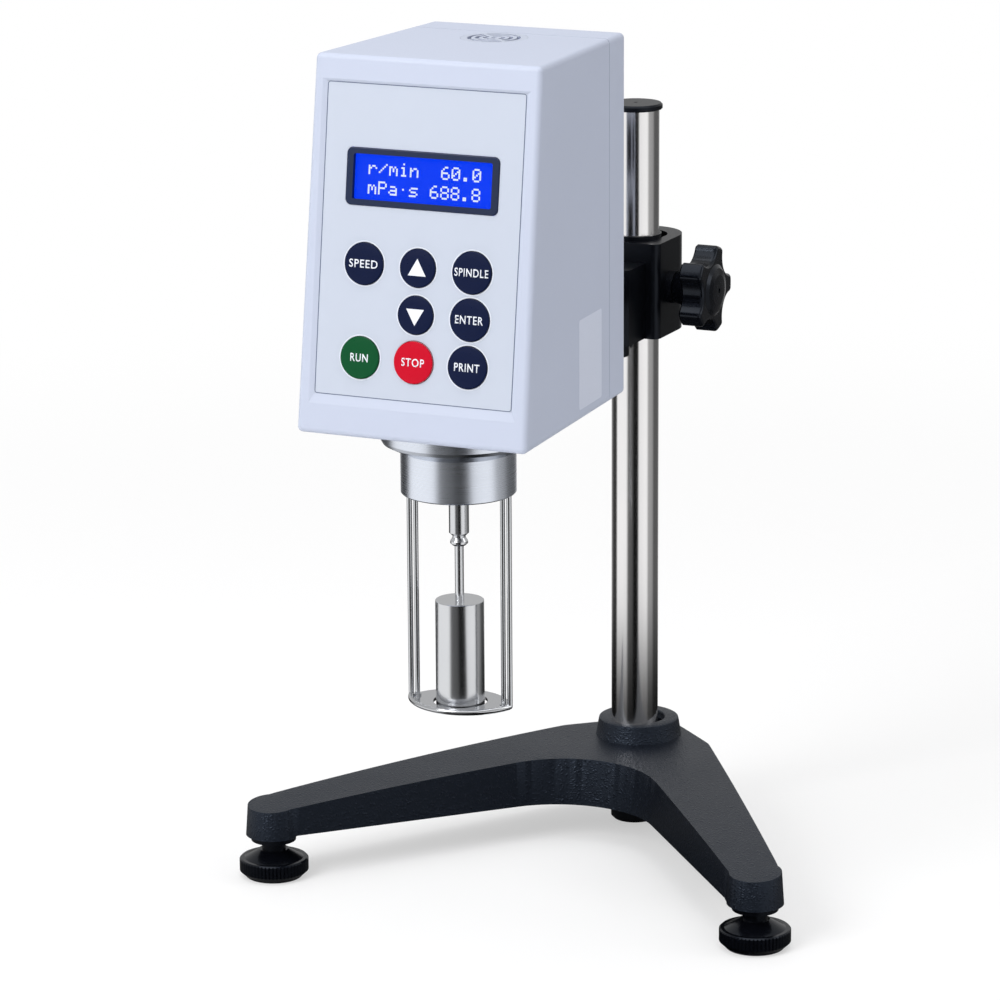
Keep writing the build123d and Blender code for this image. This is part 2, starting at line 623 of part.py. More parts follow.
def head_shell():
    body = rounded_head() - head_block(HEAD_WALL)
    body -= behind(SEAM_Y)
    recess = loft([
        panel_rect(0, PANEL_LOW, PANEL_HIGH, -RECESS).face(),
        panel_rect(RECESS_SIDE, PANEL_LOW - RECESS_FOOT, PANEL_HIGH + RECESS_HEAD, 0.0).face(),
    ])
    body -= recess
    mid = (PANEL_LOW + PANEL_HIGH) / 2
    height = PANEL_HIGH - PANEL_LOW
    body -= on_face(face_plate(2 * PANEL_HALF_W, height, PANEL_T), 0, mid, -RECESS)
    body -= on_face(face_plate(2 * (PANEL_HALF_W - PANEL_LEDGE), height - 2 * PANEL_LEDGE, 10), 0, mid, -RECESS)
    for low, high in ((KEY_BOARD_LOW, KEY_BOARD_HIGH), (LCD_BOARD_LOW, LCD_BOARD_HIGH)):
        for x, up in board_post_places(low, high):
            post = Cylinder(BOARD_POST_R, -board_face - 2.5, align=(Align.CENTER, Align.CENTER, Align.MIN))
            post -= Cylinder(BOARD_SCREW_R, BIG)
            body += on_face(post, x, up, board_face)
    for x, z in cover_screw_places():
        post = cyl_y(COVER_POST_R, SEAM_Y - 12, rear_wall_y - SEAT, x, z)
        web = block(min(x, x * 1.12), max(x, x * 1.12), SEAM_Y - 12, SEAM_Y - 2, z - 1.5, z + 1.5)
        body += (post + (web & head_block(1))) - cyl_y(COVER_SCREW_R, SEAM_Y - 11, BIG, x, z)
    body -= cyl(VENT_R + FIT, HEAD_TOP_Z - VENT_T, BIG, 0, VENT_Y)
    body -= cyl(VENT_R - VENT_LEDGE, HEAD_TOP_Z - HEAD_WALL - 1, BIG, 0, VENT_Y)
    body -= cyl(FRAME_BORE_R, HEAD_BOTTOM_Z - 1, floor_z + 1, 0, SPINDLE_Y)
    for x, y in neck_screw_places():
        body -= cyl(2.6, HEAD_BOTTOM_Z - 1, floor_z + 1, x, y)
    return body


def vent_grille():
    """Round grille: three rings of arc slots between radial spokes, about a small hole."""
    body = cyl(VENT_R, HEAD_TOP_Z - VENT_T, HEAD_TOP_Z)
    for inner, outer in ((3.4, 5.4), (7.2, 9.2), (11.0, 13.0)):
        ring = cyl(outer, 0, BIG) - cyl(inner, 0, BIG)
        for i in range(2):
            spoke = Rot(0, 0, 45 + 90 * i) * block(-BIG, BIG, -0.8, 0.8, 0, BIG)
            ring -= spoke
        body -= ring
    body -= cyl(1.4, 0, BIG)
    return Pos(0, VENT_Y, 0) * body


def rear_cover():
    body = (rounded_head() - head_block(HEAD_WALL)) & behind(SEAM_Y + SEAM_GAP)
    inner = head_block(HEAD_WALL + FIT + LIP_T)
    tongue = ((head_block(HEAD_WALL + FIT) - inner) & behind(SEAM_Y - LIP_L)) - behind(SEAM_Y + SEAM_GAP)
    root = ((head_block(HEAD_WALL) - inner) & behind(SEAM_Y + SEAM_GAP)) - behind(SEAM_Y + SEAM_GAP + LIP_L)
    lip = tongue + root
    lip -= block(-FRAME_HALF_W - 1, FRAME_HALF_W + 1, -BIG, BIG, 0, floor_z + LIP_T + 1)
    lip -= block(-VENT_R - 1, VENT_R + 1, -BIG, BIG, HEAD_TOP_Z - HEAD_WALL - LIP_T - 1, BIG)
    for x, z in cover_screw_places():
        lip -= block(x - COVER_POST_R - 0.5, x + COVER_POST_R + 0.5, -BIG, BIG, z - COVER_POST_R - 0.5,
                     z + COVER_POST_R + 0.5)
        lip -= block(min(x, 2 * x), max(x, 2 * x), -BIG, BIG, z - COVER_POST_R - 0.5, z + COVER_POST_R + 0.5)
    body += lip
    for x, z in arm_screw_places():
        body -= cyl_y(2.6, rear_wall_y - 1, HEAD_BACK_Y + 1, x, z)
    for x, z in cover_screw_places():
        body -= cyl_y(COVER_SCREW_R + FIT, rear_wall_y - 1, HEAD_BACK_Y + 1, x, z)
    body -= block(INLET_X - INLET_W / 2 + 10 - 4, INLET_X + INLET_W / 2 - 10 + 4, rear_wall_y - 1, HEAD_BACK_Y + 1,
                  INLET_Z - INLET_H / 2 + 2, INLET_Z + INLET_H / 2 - 2)
    body -= block(ROCKER_X - ROCKER_W / 2 - 2, ROCKER_X + ROCKER_W / 2 + 2, rear_wall_y - 1, HEAD_BACK_Y + 1,
                  INLET_Z - ROCKER_H / 2 - 2, INLET_Z + ROCKER_H / 2 + 2)
    body -= block(PORT_X - PORT_SHELL_W / 2 - 1, PORT_X + PORT_SHELL_W / 2 + 1, rear_wall_y - 1, HEAD_BACK_Y + 1,
                  PORT_Z - PORT_SHELL_H / 2 - 1, PORT_Z + PORT_SHELL_H / 2 + 1)
    for i in range(6):
        z = 412.0 + 4.2 * i
        body -= block(-31, 31, rear_wall_y - 1, HEAD_BACK_Y + 1, z, z + 1.8)
    for sx in (-1, 1):
        for z in (MAIN_BOARD_LOW_Z + 5, MAIN_BOARD_HIGH_Z - 5):
            body += cyl_y(STANDOFF_R, MAIN_BOARD_Y + BOARD_T, rear_wall_y + 1, sx * (MAIN_BOARD_HALF_W - 5), z)
    return body


def cover_screw_places():
    x = half_width(rear_wall_y, HEAD_WALL) - COVER_POST_R - 0.2
    return [(sx * x, z) for sx in (-1, 1) for z in (HEAD_BOTTOM_Z + 14, HEAD_TOP_Z - 14)]


def cover_screws():
    shapes = []
    for x, z in cover_screw_places():
        screw = cyl_y(COVER_SCREW_R, rear_wall_y - 9, HEAD_BACK_Y, x, z)
        screw += cyl_y(COVER_SCREW_HEAD_R, HEAD_BACK_Y, HEAD_BACK_Y + COVER_SCREW_HEAD_H, x, z)
        shapes.append(screw)
    return Compound(children=shapes)


# ---------------------------------------------------------------- front panel
def key_places():
    """Name, radius, place across and up the front face of each push button."""
    left, mid, right = -KEY_PITCH_X, 0.0, KEY_PITCH_X
    top, centre, low = KEY_ROWS
    return [
        ("speed", KEY_R, left, top), ("up", ARROW_R, mid, top), ("spindle", KEY_R, right, top),
        ("down", ARROW_R, mid, centre), ("enter", KEY_R, right, centre),
        ("run", KEY_R, left, low), ("stop", KEY_R, mid, low), ("print", KEY_R, right, low),
    ]


def panel_plate():
    mid = (PANEL_LOW + PANEL_HIGH) / 2
    flat = Rectangle(2 * (PANEL_HALF_W - FIT), PANEL_HIGH - PANEL_LOW - 2 * FIT)
    flat -= Pos(0, BEZEL_UP - mid) * RectangleRounded(BEZEL_W + 2 * FIT, BEZEL_H + 2 * FIT, BEZEL_CORNER_R)
    for name, r, x, up in key_places():
        flat -= Pos(x, up - mid) * Circle(r + FREE)
    return on_face(extrude(flat, -PANEL_T), 0, mid, -RECESS)


def lcd_bezel():
    outer = face_plate(BEZEL_W, BEZEL_H, BEZEL_DEEP, BEZEL_CORNER_R)
    outer = fillet(outer.faces().sort_by(Axis.Z)[-1].edges(), 0.5)
    opening = face_plate(GLASS_W, GLASS_H, BEZEL_DEEP + 2, 1.0)
    seat = face_plate(GLASS_W + 2 * GLASS_RIM + 2 * FIT, GLASS_H + 2 * GLASS_RIM + 2 * FIT, BEZEL_DEEP, 1.0)
    body = outer - Pos(0, 0, 1) * opening - Pos(0, 0, -GLASS_DEEP) * seat
    return on_face(body, 0, BEZEL_UP, bezel_face)


def lcd_window():
    glass = face_plate(GLASS_W + 2 * GLASS_RIM, GLASS_H + 2 * GLASS_RIM, GLASS_T, 1.0)
    return on_face(glass, 0, BEZEL_UP, bezel_face - GLASS_DEEP)


def board(low, high, holes):
    flat = Rectangle(2 * BOARD_HALF_W, high - low)
    mid = (low + high) / 2
    for x, up in holes:
        flat -= Pos(x, up - mid) * Circle(BOARD_SCREW_R + FIT)
    return on_face(extrude(flat, -BOARD_T), 0, mid, board_face)


def lcd_module():
    body = board(LCD_BOARD_LOW, LCD_BOARD_HIGH, board_post_places(LCD_BOARD_LOW, LCD_BOARD_HIGH))
    can_front = bezel_face - BEZEL_DEEP
    can = face_plate(BEZEL_W - 4, BEZEL_H - 1, can_front - board_face)
    return body + on_face(can, 0, BEZEL_UP, can_front)


def keypad_board():
    return board(KEY_BOARD_LOW, KEY_BOARD_HIGH, board_post_places(KEY_BOARD_LOW, KEY_BOARD_HIGH))


def key_switches():
    shapes = []
    for name, r, x, up in key_places():
        case = face_plate(SWITCH_SIDE, SWITCH_SIDE, SWITCH_H - 0.8)
        plunger = Pos(0, 0, 0.8) * extrude(Circle(1.75), -0.8)
        shapes.append(on_face(case + plunger, x, up, board_face + SWITCH_H - 0.8))
    return Compound(children=shapes)


def board_screws():
    shapes = []
    for low, high in ((KEY_BOARD_LOW, KEY_BOARD_HIGH), (LCD_BOARD_LOW, LCD_BOARD_HIGH)):
        for x, up in board_post_places(low, high):
            screw = Pos(0, 0, -BOARD_T) * extrude(Circle(BOARD_SCREW_HEAD_R), -BOARD_SCREW_HEAD_H)
            screw += Pos(0, 0, -BOARD_T) * extrude(Circle(BOARD_SCREW_R - 0.05), BOARD_T + 5)
            shapes.append(on_face(screw, x, up, board_face))
    return Compound(children=shapes)


def key(r, x, up):
    """Push button: domed cap through the plate, retaining flange and stem behind it."""
    top = -RECESS + KEY_PROUD
    flange_top = -RECESS - PANEL_T - SEAT
    flange_low = flange_top - KEY_FLANGE_T
    cap = turned([(0, flange_low - KEY_STEM_L), (KEY_STEM_R, flange_low - KEY_STEM_L), (KEY_STEM_R, flange_low),
                  (r + KEY_FLANGE, flange_low), (r + KEY_FLANGE, flange_top), (r, flange_top),
                  (r, top - KEY_DOME - 0.2), (r - 0.35, top - KEY_DOME), (r * 0.7, top - KEY_DOME * 0.35),
                  (r * 0.35, top - KEY_DOME * 0.07), (0, top)])
    return on_face(cap, x, up, 0)


# ---------------------------------------------------------------- neck, guard and spindle
def neck_screw_places():
    return [(31.0 * cos(radians(a)), SPINDLE_Y + 31.0 * sin(radians(a))) for a in (0, 120, 240)]


def neck():
    body = turned([(NECK_BORE_R, NECK_BOTTOM_Z), (NECK_R - 0.6, NECK_BOTTOM_Z), (NECK_R, NECK_BOTTOM_Z + 0.6),
                   (NECK_R, NECK_TOP_Z), (FLARE_R - 3.0, FLARE_Z - 1.2), (FLARE_R - 1.0, FLARE_Z - 0.2),
                   (FLARE_R, FLARE_Z + 1.6), (FLARE_R, HEAD_BOTTOM_Z), (NECK_BORE_R, HEAD_BOTTOM_Z)], 0, SPINDLE_Y)
    body -= cyl(NECK_CUP_R, NECK_BOTTOM_Z - 1, NECK_BOTTOM_Z + NECK_CUP_DEPTH, 0, SPINDLE_Y)
    for side in (-1, 1):
        body -= cyl(GUARD_WIRE_R + RUN, NECK_BOTTOM_Z - 1, NECK_BOTTOM_Z + GUARD_SOCKET, side * GUARD_WIRE_X,
                    SPINDLE_Y)
        body -= cyl(GUARD_POST_R + RUN, NECK_BOTTOM_Z - 1, NECK_BOTTOM_Z + GUARD_SOCKET, side * GUARD_POST_X,
                    SPINDLE_Y)
    for x, y in neck_screw_places():
        body -= cyl(2.1, HEAD_BOTTOM_Z - 8, HEAD_BOTTOM_Z + 1, x, y)
    return body


def neck_screws():
    shapes = []
    for x, y in neck_screw_places():
        shapes.append(cyl(2.0, HEAD_BOTTOM_Z - 7, floor_z + FRAME_T, x, y) + cyl(3.6, floor_z + FRAME_T,
                      floor_z + FRAME_T + 3.4, x, y))
    return Compound(children=shapes)


def guard_plan():
    """Lens outline of the guard's plate: two arcs through the wire's legs."""
    half_w = GUARD_WIRE_X
    radius = (half_w ** 2 + GUARD_PLATE_HALF_D ** 2) / (2 * GUARD_PLATE_HALF_D)
    shift = radius - GUARD_PLATE_HALF_D
    front = Pos(0, shift) * Circle(radius)
    back = Pos(0, -shift) * Circle(radius)
    return front & back, radius, shift


def guard_wire():
    """Round wire: two legs joined by an arc along the front edge of the plate."""
    outline, radius, shift = guard_plan()
    z = GUARD_PLATE_Z
    top = NECK_BOTTOM_Z + GUARD_SOCKET - SEAT
    low = (0, SPINDLE_Y + shift - radius, z)
    left_low = (-GUARD_WIRE_X, SPINDLE_Y, z)
    right_low = (GUARD_WIRE_X, SPINDLE_Y, z)
    arc = ThreePointArc(left_low, low, right_low)
    ring = sweep(Plane(origin=arc @ 0, z_dir=arc % 0) * Circle(GUARD_WIRE_R), path=arc)
    body = ring
    for side in (-1, 1):
        body += cyl(GUARD_WIRE_R, z, top, side * GUARD_WIRE_X, SPINDLE_Y)
        body += Pos(side * GUARD_WIRE_X, SPINDLE_Y, z) * Sphere(GUARD_WIRE_R)
    return body


def guard_plate():
    outline, radius, shift = guard_plan()
    flat = outline - Circle(GUARD_HOLE_R)
    plate = Pos(0, SPINDLE_Y, GUARD_PLATE_Z - GUARD_PLATE_T) * extrude(flat, GUARD_PLATE_T)
    return plate - guard_wire()


def guard_posts():
    shapes = []
    for side in (-1, 1):
        x = side * GUARD_POST_X
        top = NECK_BOTTOM_Z + GUARD_SOCKET - SEAT
        post = cyl(GUARD_POST_R, GUARD_PLATE_Z, top, x, SPINDLE_Y)
        post += cyl(GUARD_POST_FOOT_R, GUARD_PLATE_Z, GUARD_PLATE_Z + GUARD_POST_FOOT_H, x, SPINDLE_Y)
        shapes.append(post - guard_wire())
    return Compound(children=shapes)


def spindle():
    """Measuring spindle: threaded end, neck, flared nut, thin stem and cylindrical bob."""
    thread_top = SLEEVE_BOTTOM_Z + THREAD_L
    return turned([(0, BOB_BOTTOM_Z), (BOB_R - 0.4, BOB_BOTTOM_Z), (BOB_R, BOB_BOTTOM_Z + 0.4),
                   (BOB_R, BOB_TOP_Z - 0.3), (BOB_R - 0.3, BOB_TOP_Z), (STEM_R, BOB_TOP_Z),
                   (STEM_R, NUT_BOTTOM_Z), (NUT_R - 1.2, NUT_BOTTOM_Z), (NUT_R, NUT_BOTTOM_Z + 1.1),
                   (NUT_R, NUT_WIDE_Z), (SPINDLE_NECK_R, NUT_WIDE_Z + 1.8), (SPINDLE_NECK_R, SLEEVE_BOTTOM_Z),
                   (THREAD_R, SLEEVE_BOTTOM_Z), (THREAD_R, thread_top), (0, thread_top)], 0, SPINDLE_Y)


def coupling_sleeve():
    bore_top = SLEEVE_BOTTOM_Z + THREAD_L + 1
    return turned([(THREAD_R + FIT, SLEEVE_BOTTOM_Z), (SLEEVE_R - 1.3, SLEEVE_BOTTOM_Z),
                   (SLEEVE_R, SLEEVE_BOTTOM_Z + 1.2), (SLEEVE_R, SLEEVE_TOP_Z), (SHAFT_R + FIT, SLEEVE_TOP_Z),
                   (SHAFT_R + FIT, bore_top + 8), (0, bore_top + 8), (0, bore_top), (THREAD_R + FIT, bore_top)],
                  0, SPINDLE_Y)


def spindle_shaft():
    low = SLEEVE_BOTTOM_Z + THREAD_L + 9 + SEAT
    return cyl(SHAFT_R, low, SHAFT_TOP_Z, 0, SPINDLE_Y)


def slotted_disc(z, bore_r):
    """Encoder disc on its hub, with a ring of radial slots."""
    body = cyl(DISC_R, z, z + DISC_T) + cyl(HUB_DISC_R, z - HUB_DISC_H / 2, z + DISC_T)
    for i in range(DISC_SLOTS):
        body -= Rot(0, 0, 360 / DISC_SLOTS * (i + 0.5)) * block(DISC_R - 5, DISC_R - 1.2, -1, 1, 0, BIG)
    return Pos(0, SPINDLE_Y, 0) * (body - cyl(bore_r, 0, BIG))


def spindle_disc():
    """Lower disc, with the pin that takes the hairspring's outer end."""
    coil_r = SPRING_INNER_R + SPRING_PITCH * SPRING_TURNS + SPRING_T / 2
    pin = cyl(SPRING_PIN_R, LOWER_DISC_Z, SPRING_Z + SPRING_H, coil_r + SPRING_PIN_R + 0.3, SPINDLE_Y)
    return slotted_disc(LOWER_DISC_Z, SHAFT_R + RUN) + pin


def drive_disc():
    return slotted_disc(UPPER_DISC_Z, MOTOR_SHAFT_R + RUN)


def motor_shaft():
    motor_z = POST_TOP_Z + MOTOR_PLATE_T
    return cyl(MOTOR_SHAFT_R, SHAFT_TOP_Z + 1.0, motor_z + MOTOR_H - 4, 0, SPINDLE_Y)


def hairspring():
    """Flat spiral spring of half turns, with its collet, hung from the motor shaft."""
    body = cyl(SPRING_INNER_R + 0.2, SPRING_Z, SPRING_Z + SPRING_H) - cyl(MOTOR_SHAFT_R + RUN, 0, BIG)
    for i in range(2 * SPRING_TURNS):
        r = SPRING_INNER_R + SPRING_PITCH * (i + 0.5) / 2
        half_ring = Circle(r + SPRING_T / 2) - Circle(r - SPRING_T / 2)
        side = 1 if i % 2 == 0 else -1
        half_ring &= Pos(0, side * BIG / 2) * Rectangle(BIG, BIG)
        body += Pos(-side * SPRING_PITCH / 4, 0, SPRING_Z) * extrude(half_ring, SPRING_H)
    return Pos(0, SPINDLE_Y, 0) * body


def chassis_frame():
    """Bent plate: floor that carries the drive and a back that takes the arm's screws."""
    back_top = floor_z + FRAME_BACK_H
    floor_plate = block(-FRAME_HALF_W, FRAME_HALF_W, FRAME_FRONT_Y, rear_wall_y, floor_z, floor_z + FRAME_T)
    back = block(-FRAME_HALF_W, FRAME_HALF_W, rear_wall_y - FRAME_T, rear_wall_y, floor_z, back_top)
    body = floor_plate + back
    gusset = make_face(Polyline((0, rear_wall_y - FRAME_T - 30, floor_z + FRAME_T),
                                (0, rear_wall_y - FRAME_T, floor_z + FRAME_T),
                                (0, rear_wall_y - FRAME_T, back_top - 8), close=True))
    for x in (-FRAME_HALF_W, FRAME_HALF_W - 3):
        body += Pos(x, 0, 0) * extrude(gusset, 3, dir=(1, 0, 0))
    body -= cyl(BEARING_R + FIT, floor_z + 1.5, BIG, 0, SPINDLE_Y)
    body -= cyl(BEARING_R - 1.5, 0, BIG, 0, SPINDLE_Y)
    for x, y in neck_screw_places():
        body -= cyl(2.1, 0, BIG, x, y)
    for x, z in arm_screw_places():
        body -= cyl_y(2.6, rear_wall_y - FRAME_T - 1, rear_wall_y + 1, x, z)
    return body


def spindle_bearing():
    z0 = floor_z + 1.5
    body = cyl(BEARING_R, z0, z0 + BEARING_H, 0, SPINDLE_Y)
    return body - cyl(SHAFT_R + RUN, 0, BIG, 0, SPINDLE_Y)


def tower_post_places():
    return [(POST_PCD_R * cos(radians(a)), SPINDLE_Y + POST_PCD_R * sin(radians(a))) for a in (60, 180, 300)]


def tower_posts():
    shapes = [cyl(POST_R, floor_z + FRAME_T, POST_TOP_Z, x, y) for x, y in tower_post_places()]
    return Compound(children=shapes)


def motor_plate():
    body = cyl(POST_PCD_R + POST_R + 1, POST_TOP_Z, POST_TOP_Z + MOTOR_PLATE_T, 0, SPINDLE_Y)
    return body - cyl(MOTOR_BOSS_R + FIT, 0, BIG, 0, SPINDLE_Y)


def drive_motor():
    z0 = POST_TOP_Z + MOTOR_PLATE_T
    square = RectangleRounded(2 * MOTOR_HALF, 2 * MOTOR_HALF, 4)
    body = Pos(0, SPINDLE_Y, z0) * extrude(square, MOTOR_H)
    body += cyl(MOTOR_BOSS_R, z0 - MOTOR_BOSS_H, z0, 0, SPINDLE_Y)
    return body - cyl(MOTOR_SHAFT_R + RUN, z0 - 10, z0 + MOTOR_H - 4 + 1, 0, SPINDLE_Y)


# ---------------------------------------------------------------- electrics
def main_board():
    y = MAIN_BOARD_Y
    body = block(-MAIN_BOARD_HALF_W, MAIN_BOARD_HALF_W, y, y + BOARD_T, MAIN_BOARD_LOW_Z, MAIN_BOARD_HIGH_Z)
    return body


def power_inlet():
    x0 = INLET_X - INLET_W / 2
    flange = block(x0, x0 + INLET_W, HEAD_BACK_Y, HEAD_BACK_Y + INLET_T, INLET_Z - INLET_H / 2,
                   INLET_Z + INLET_H / 2)
    flange = fillet(flange.edges().filter_by(Axis.Y), 3)
    body = flange + block(x0 + 10 - 3, x0 + INLET_W - 10 + 3, HEAD_BACK_Y - INLET_DEEP, HEAD_BACK_Y,
                          INLET_Z - INLET_H / 2 + 3, INLET_Z + INLET_H / 2 - 3)
    body -= block(INLET_X - INLET_OPEN_W / 2, INLET_X + INLET_OPEN_W / 2, HEAD_BACK_Y - INLET_DEEP + 3,
                  HEAD_BACK_Y + INLET_T + 1, INLET_Z - INLET_OPEN_H / 2, INLET_Z + INLET_OPEN_H / 2)
    for x, z in ((-7, -2), (7, -2), (0, 2.5)):
        body += block(INLET_X + x - 1, INLET_X + x + 1, HEAD_BACK_Y - INLET_DEEP + 3, HEAD_BACK_Y - 1,
                      INLET_Z + z - 2, INLET_Z + z + 2)
    return body


def switch_frame():
    x0 = ROCKER_X - ROCKER_W / 2 - 1.8
    z0 = INLET_Z - ROCKER_H / 2 - 1.8
    outer = block(x0, ROCKER_X + ROCKER_W / 2 + 1.8, HEAD_BACK_Y - 14, HEAD_BACK_Y, z0,
                  INLET_Z + ROCKER_H / 2 + 1.8)
    rim = block(x0 - 1.6, ROCKER_X + ROCKER_W / 2 + 3.4, HEAD_BACK_Y, HEAD_BACK_Y + 1.6, z0 - 1.6,
                INLET_Z + ROCKER_H / 2 + 3.4)
    body = outer + fillet(rim.edges().filter_by(Axis.Y), 1.5)
    body -= cyl_x(ROCKER_PIN_R + RUN, ROCKER_X - ROCKER_W / 2 - 1 - RUN, ROCKER_X + ROCKER_W / 2 + 1 + RUN,
                  HEAD_BACK_Y - 3, INLET_Z)
    return body - block(ROCKER_X - ROCKER_W / 2, ROCKER_X + ROCKER_W / 2, HEAD_BACK_Y - 12, HEAD_BACK_Y + 10,
                        INLET_Z - ROCKER_H / 2, INLET_Z + ROCKER_H / 2)


def power_switch():
    """Rocker: shallow V face on a barrel that turns about a cross pin."""
    half = ROCKER_H / 2 - FREE
    pivot_y = HEAD_BACK_Y - 3
    tilt = tan(radians(ROCKER_TILT))
    outline = make_face(Polyline((0, pivot_y - 4, -half * 0.5), (0, pivot_y - 4, half * 0.5),
                                 (0, pivot_y + 3, half * 0.9), (0, pivot_y + 3 + tilt * half, half * 0.9),
                                 (0, pivot_y + 3, 0), (0, pivot_y + 3 + tilt * half, -half * 0.9),
                                 (0, pivot_y + 3, -half * 0.9), close=True))
    width = ROCKER_W - 2 * FREE
    rocker = Pos(-width / 2, -pivot_y, 0) * extrude(outline, width, dir=(1, 0, 0))
    rocker += cyl_x(ROCKER_PIN_R, -ROCKER_W / 2 - 1, ROCKER_W / 2 + 1, 0, 0)
    return Pos(ROCKER_X, pivot_y, INLET_Z) * Rot(-ROCKER_TILT, 0, 0) * rocker


def serial_port():
    flange = block(PORT_X - PORT_W / 2, PORT_X + PORT_W / 2, HEAD_BACK_Y, HEAD_BACK_Y + 1, PORT_Z - PORT_H / 2,
                   PORT_Z + PORT_H / 2)
    shell = block(PORT_X - PORT_SHELL_W / 2, PORT_X + PORT_SHELL_W / 2, HEAD_BACK_Y - PORT_DEEP,
                  HEAD_BACK_Y + PORT_PROUD, PORT_Z - PORT_SHELL_H / 2, PORT_Z + PORT_SHELL_H / 2)
    body = fillet(flange.edges().filter_by(Axis.Y), 1.5) + fillet(shell.edges().filter_by(Axis.Y), 2)
    return body


nodes = {
    "base_casting": base_casting(),
    "column": column(),
    "column_cap": column_cap(),
    "column_bolt": column_bolt(),
    "column_washer": column_washer(),
    "rear_foot": rear_foot(),
    "foot_inserts": foot_inserts(),
    "column_liner": column_liner(),
    "clamp_block": clamp_block(),
    "pressure_pad": pressure_pad(),
    "clamp_screw": clamp_screw(),
    "star_knob": star_knob(),
    "support_arm": support_arm(),
    "arm_screws": arm_screws(),
    "arm_lock_screw": arm_lock_screw(),
    "head_shell": head_shell(),
    "rear_cover": rear_cover(),
    "cover_screws": cover_screws(),
    "vent_grille": vent_grille(),
    "panel_plate": panel_plate(),
    "lcd_bezel": lcd_bezel(),
    "lcd_window": lcd_window(),
    "lcd_module": lcd_module(),
    "keypad_board": keypad_board(),
    "key_switches": key_switches(),
    "board_screws": board_screws(),
    "neck": neck(),
    "neck_screws": neck_screws(),
    "guard_wire": guard_wire(),
    "guard_plate": guard_plate(),
    "guard_posts": guard_posts(),
    "spindle": spindle(),
    "coupling_sleeve": coupling_sleeve(),
    "spindle_shaft": spindle_shaft(),
    "spindle_disc": spindle_disc(),
    "drive_disc": drive_disc(),
    "motor_shaft": motor_shaft(),
    "hairspring": hairspring(),
    "chassis_frame": chassis_frame(),
    "spindle_bearing": spindle_bearing(),
    "tower_posts": tower_posts(),
    "motor_plate": motor_plate(),
    "drive_motor": drive_motor(),
    "main_board": main_board(),
    "power_inlet": power_inlet(),
    "switch_frame": switch_frame(),
    "power_switch": power_switch(),
    "serial_port": serial_port(),
}
for side, x in (("left", -foot_x), ("right", foot_x)):
    nodes[side + "_foot_wheel"] = foot_wheel(x)
    nodes[side + "_foot_pad"] = foot_pad(x)
for name, r, x, up in key_places():
    nodes["button_" + name] = key(r, x, up)

os.makedirs("parts", exist_ok=True)
for name, shape in nodes.items():
    export_step(shape, f"parts/{name}.step")
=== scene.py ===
# %% [markdown]
# A bench viscometer, dressed around its CAD frame. The frame already holds every solid
# of the instrument at its real size. This lesson adds what CAD leaves out: finishes, a lit
# display, printed words, rims, a blank label and a small studio. One CAD solid, the cast
# base, is made anew, with wider round ends on its legs than the frame's own has.

# %% Load the frame
import math

import bmesh
import bpy
from mathutils import Matrix, Vector


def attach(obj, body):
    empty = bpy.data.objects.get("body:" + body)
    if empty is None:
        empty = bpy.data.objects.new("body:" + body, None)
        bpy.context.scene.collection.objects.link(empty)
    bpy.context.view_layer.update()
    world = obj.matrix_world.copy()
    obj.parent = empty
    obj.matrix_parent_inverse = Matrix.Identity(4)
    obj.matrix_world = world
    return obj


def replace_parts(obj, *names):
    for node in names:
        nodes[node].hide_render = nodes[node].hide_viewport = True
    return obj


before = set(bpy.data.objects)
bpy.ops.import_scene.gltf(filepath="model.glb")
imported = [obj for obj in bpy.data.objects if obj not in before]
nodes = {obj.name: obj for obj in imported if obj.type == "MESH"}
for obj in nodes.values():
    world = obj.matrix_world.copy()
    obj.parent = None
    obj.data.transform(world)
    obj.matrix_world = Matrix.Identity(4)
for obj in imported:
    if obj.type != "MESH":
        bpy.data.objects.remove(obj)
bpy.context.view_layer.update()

MM = 0.001

# %% [markdown]
# The camera comes first, because every later choice is judged through it. It stands two
# and a quarter metres away, above the display and round to the instrument's right. From
# so far, with a long lens, verticals stay almost parallel. Azimuth, elevation and roll are
# turned into three unit vectors that make the camera's own axes.

# %% Camera
CAMERA_AZIMUTH = math.radians(24.74)
CAMERA_ELEVATION = math.radians(14.417)
CAMERA_ROLL = math.radians(-0.349)
CAMERA_PLACE = Vector((0.8988, -2.1210, 0.7679))
CAMERA_LENS = 162.0
SENSOR_WIDTH = 36.0
FAR_CLIP = 50.0

back = Vector((math.sin(CAMERA_AZIMUTH) * math.cos(CAMERA_ELEVATION),
               -math.cos(CAMERA_AZIMUTH) * math.cos(CAMERA_ELEVATION),
               math.sin(CAMERA_ELEVATION)))
level_right = Vector((math.cos(CAMERA_AZIMUTH), math.sin(CAMERA_AZIMUTH), 0.0))
level_up = back.cross(level_right)
right = level_right * math.cos(CAMERA_ROLL) + level_up * math.sin(CAMERA_ROLL)
up = level_up * math.cos(CAMERA_ROLL) - level_right * math.sin(CAMERA_ROLL)

camera = bpy.data.objects.new("camera", bpy.data.cameras.new("camera"))
camera.data.lens = CAMERA_LENS
camera.data.sensor_width = SENSOR_WIDTH
camera.data.sensor_fit = "HORIZONTAL"
camera.data.clip_end = FAR_CLIP
camera.matrix_world = Matrix.Translation(CAMERA_PLACE) @ Matrix((right, up, back)).transposed().to_4x4()
bpy.context.scene.collection.objects.link(camera)
bpy.context.scene.camera = camera
bpy.context.scene.view_settings.view_transform = "Standard"
bpy.context.scene.view_settings.look = "None"
print("camera", [round(v, 3) for v in camera.location], "lens", CAMERA_LENS)

# %% [markdown]
# Shader maths can be drawn as a web of nodes or written as sums. A Wire wraps one socket
# and overloads the operators, so a pattern is one line of Python, and a Finish is a
# material with its Principled shader and one method that adds any other node.

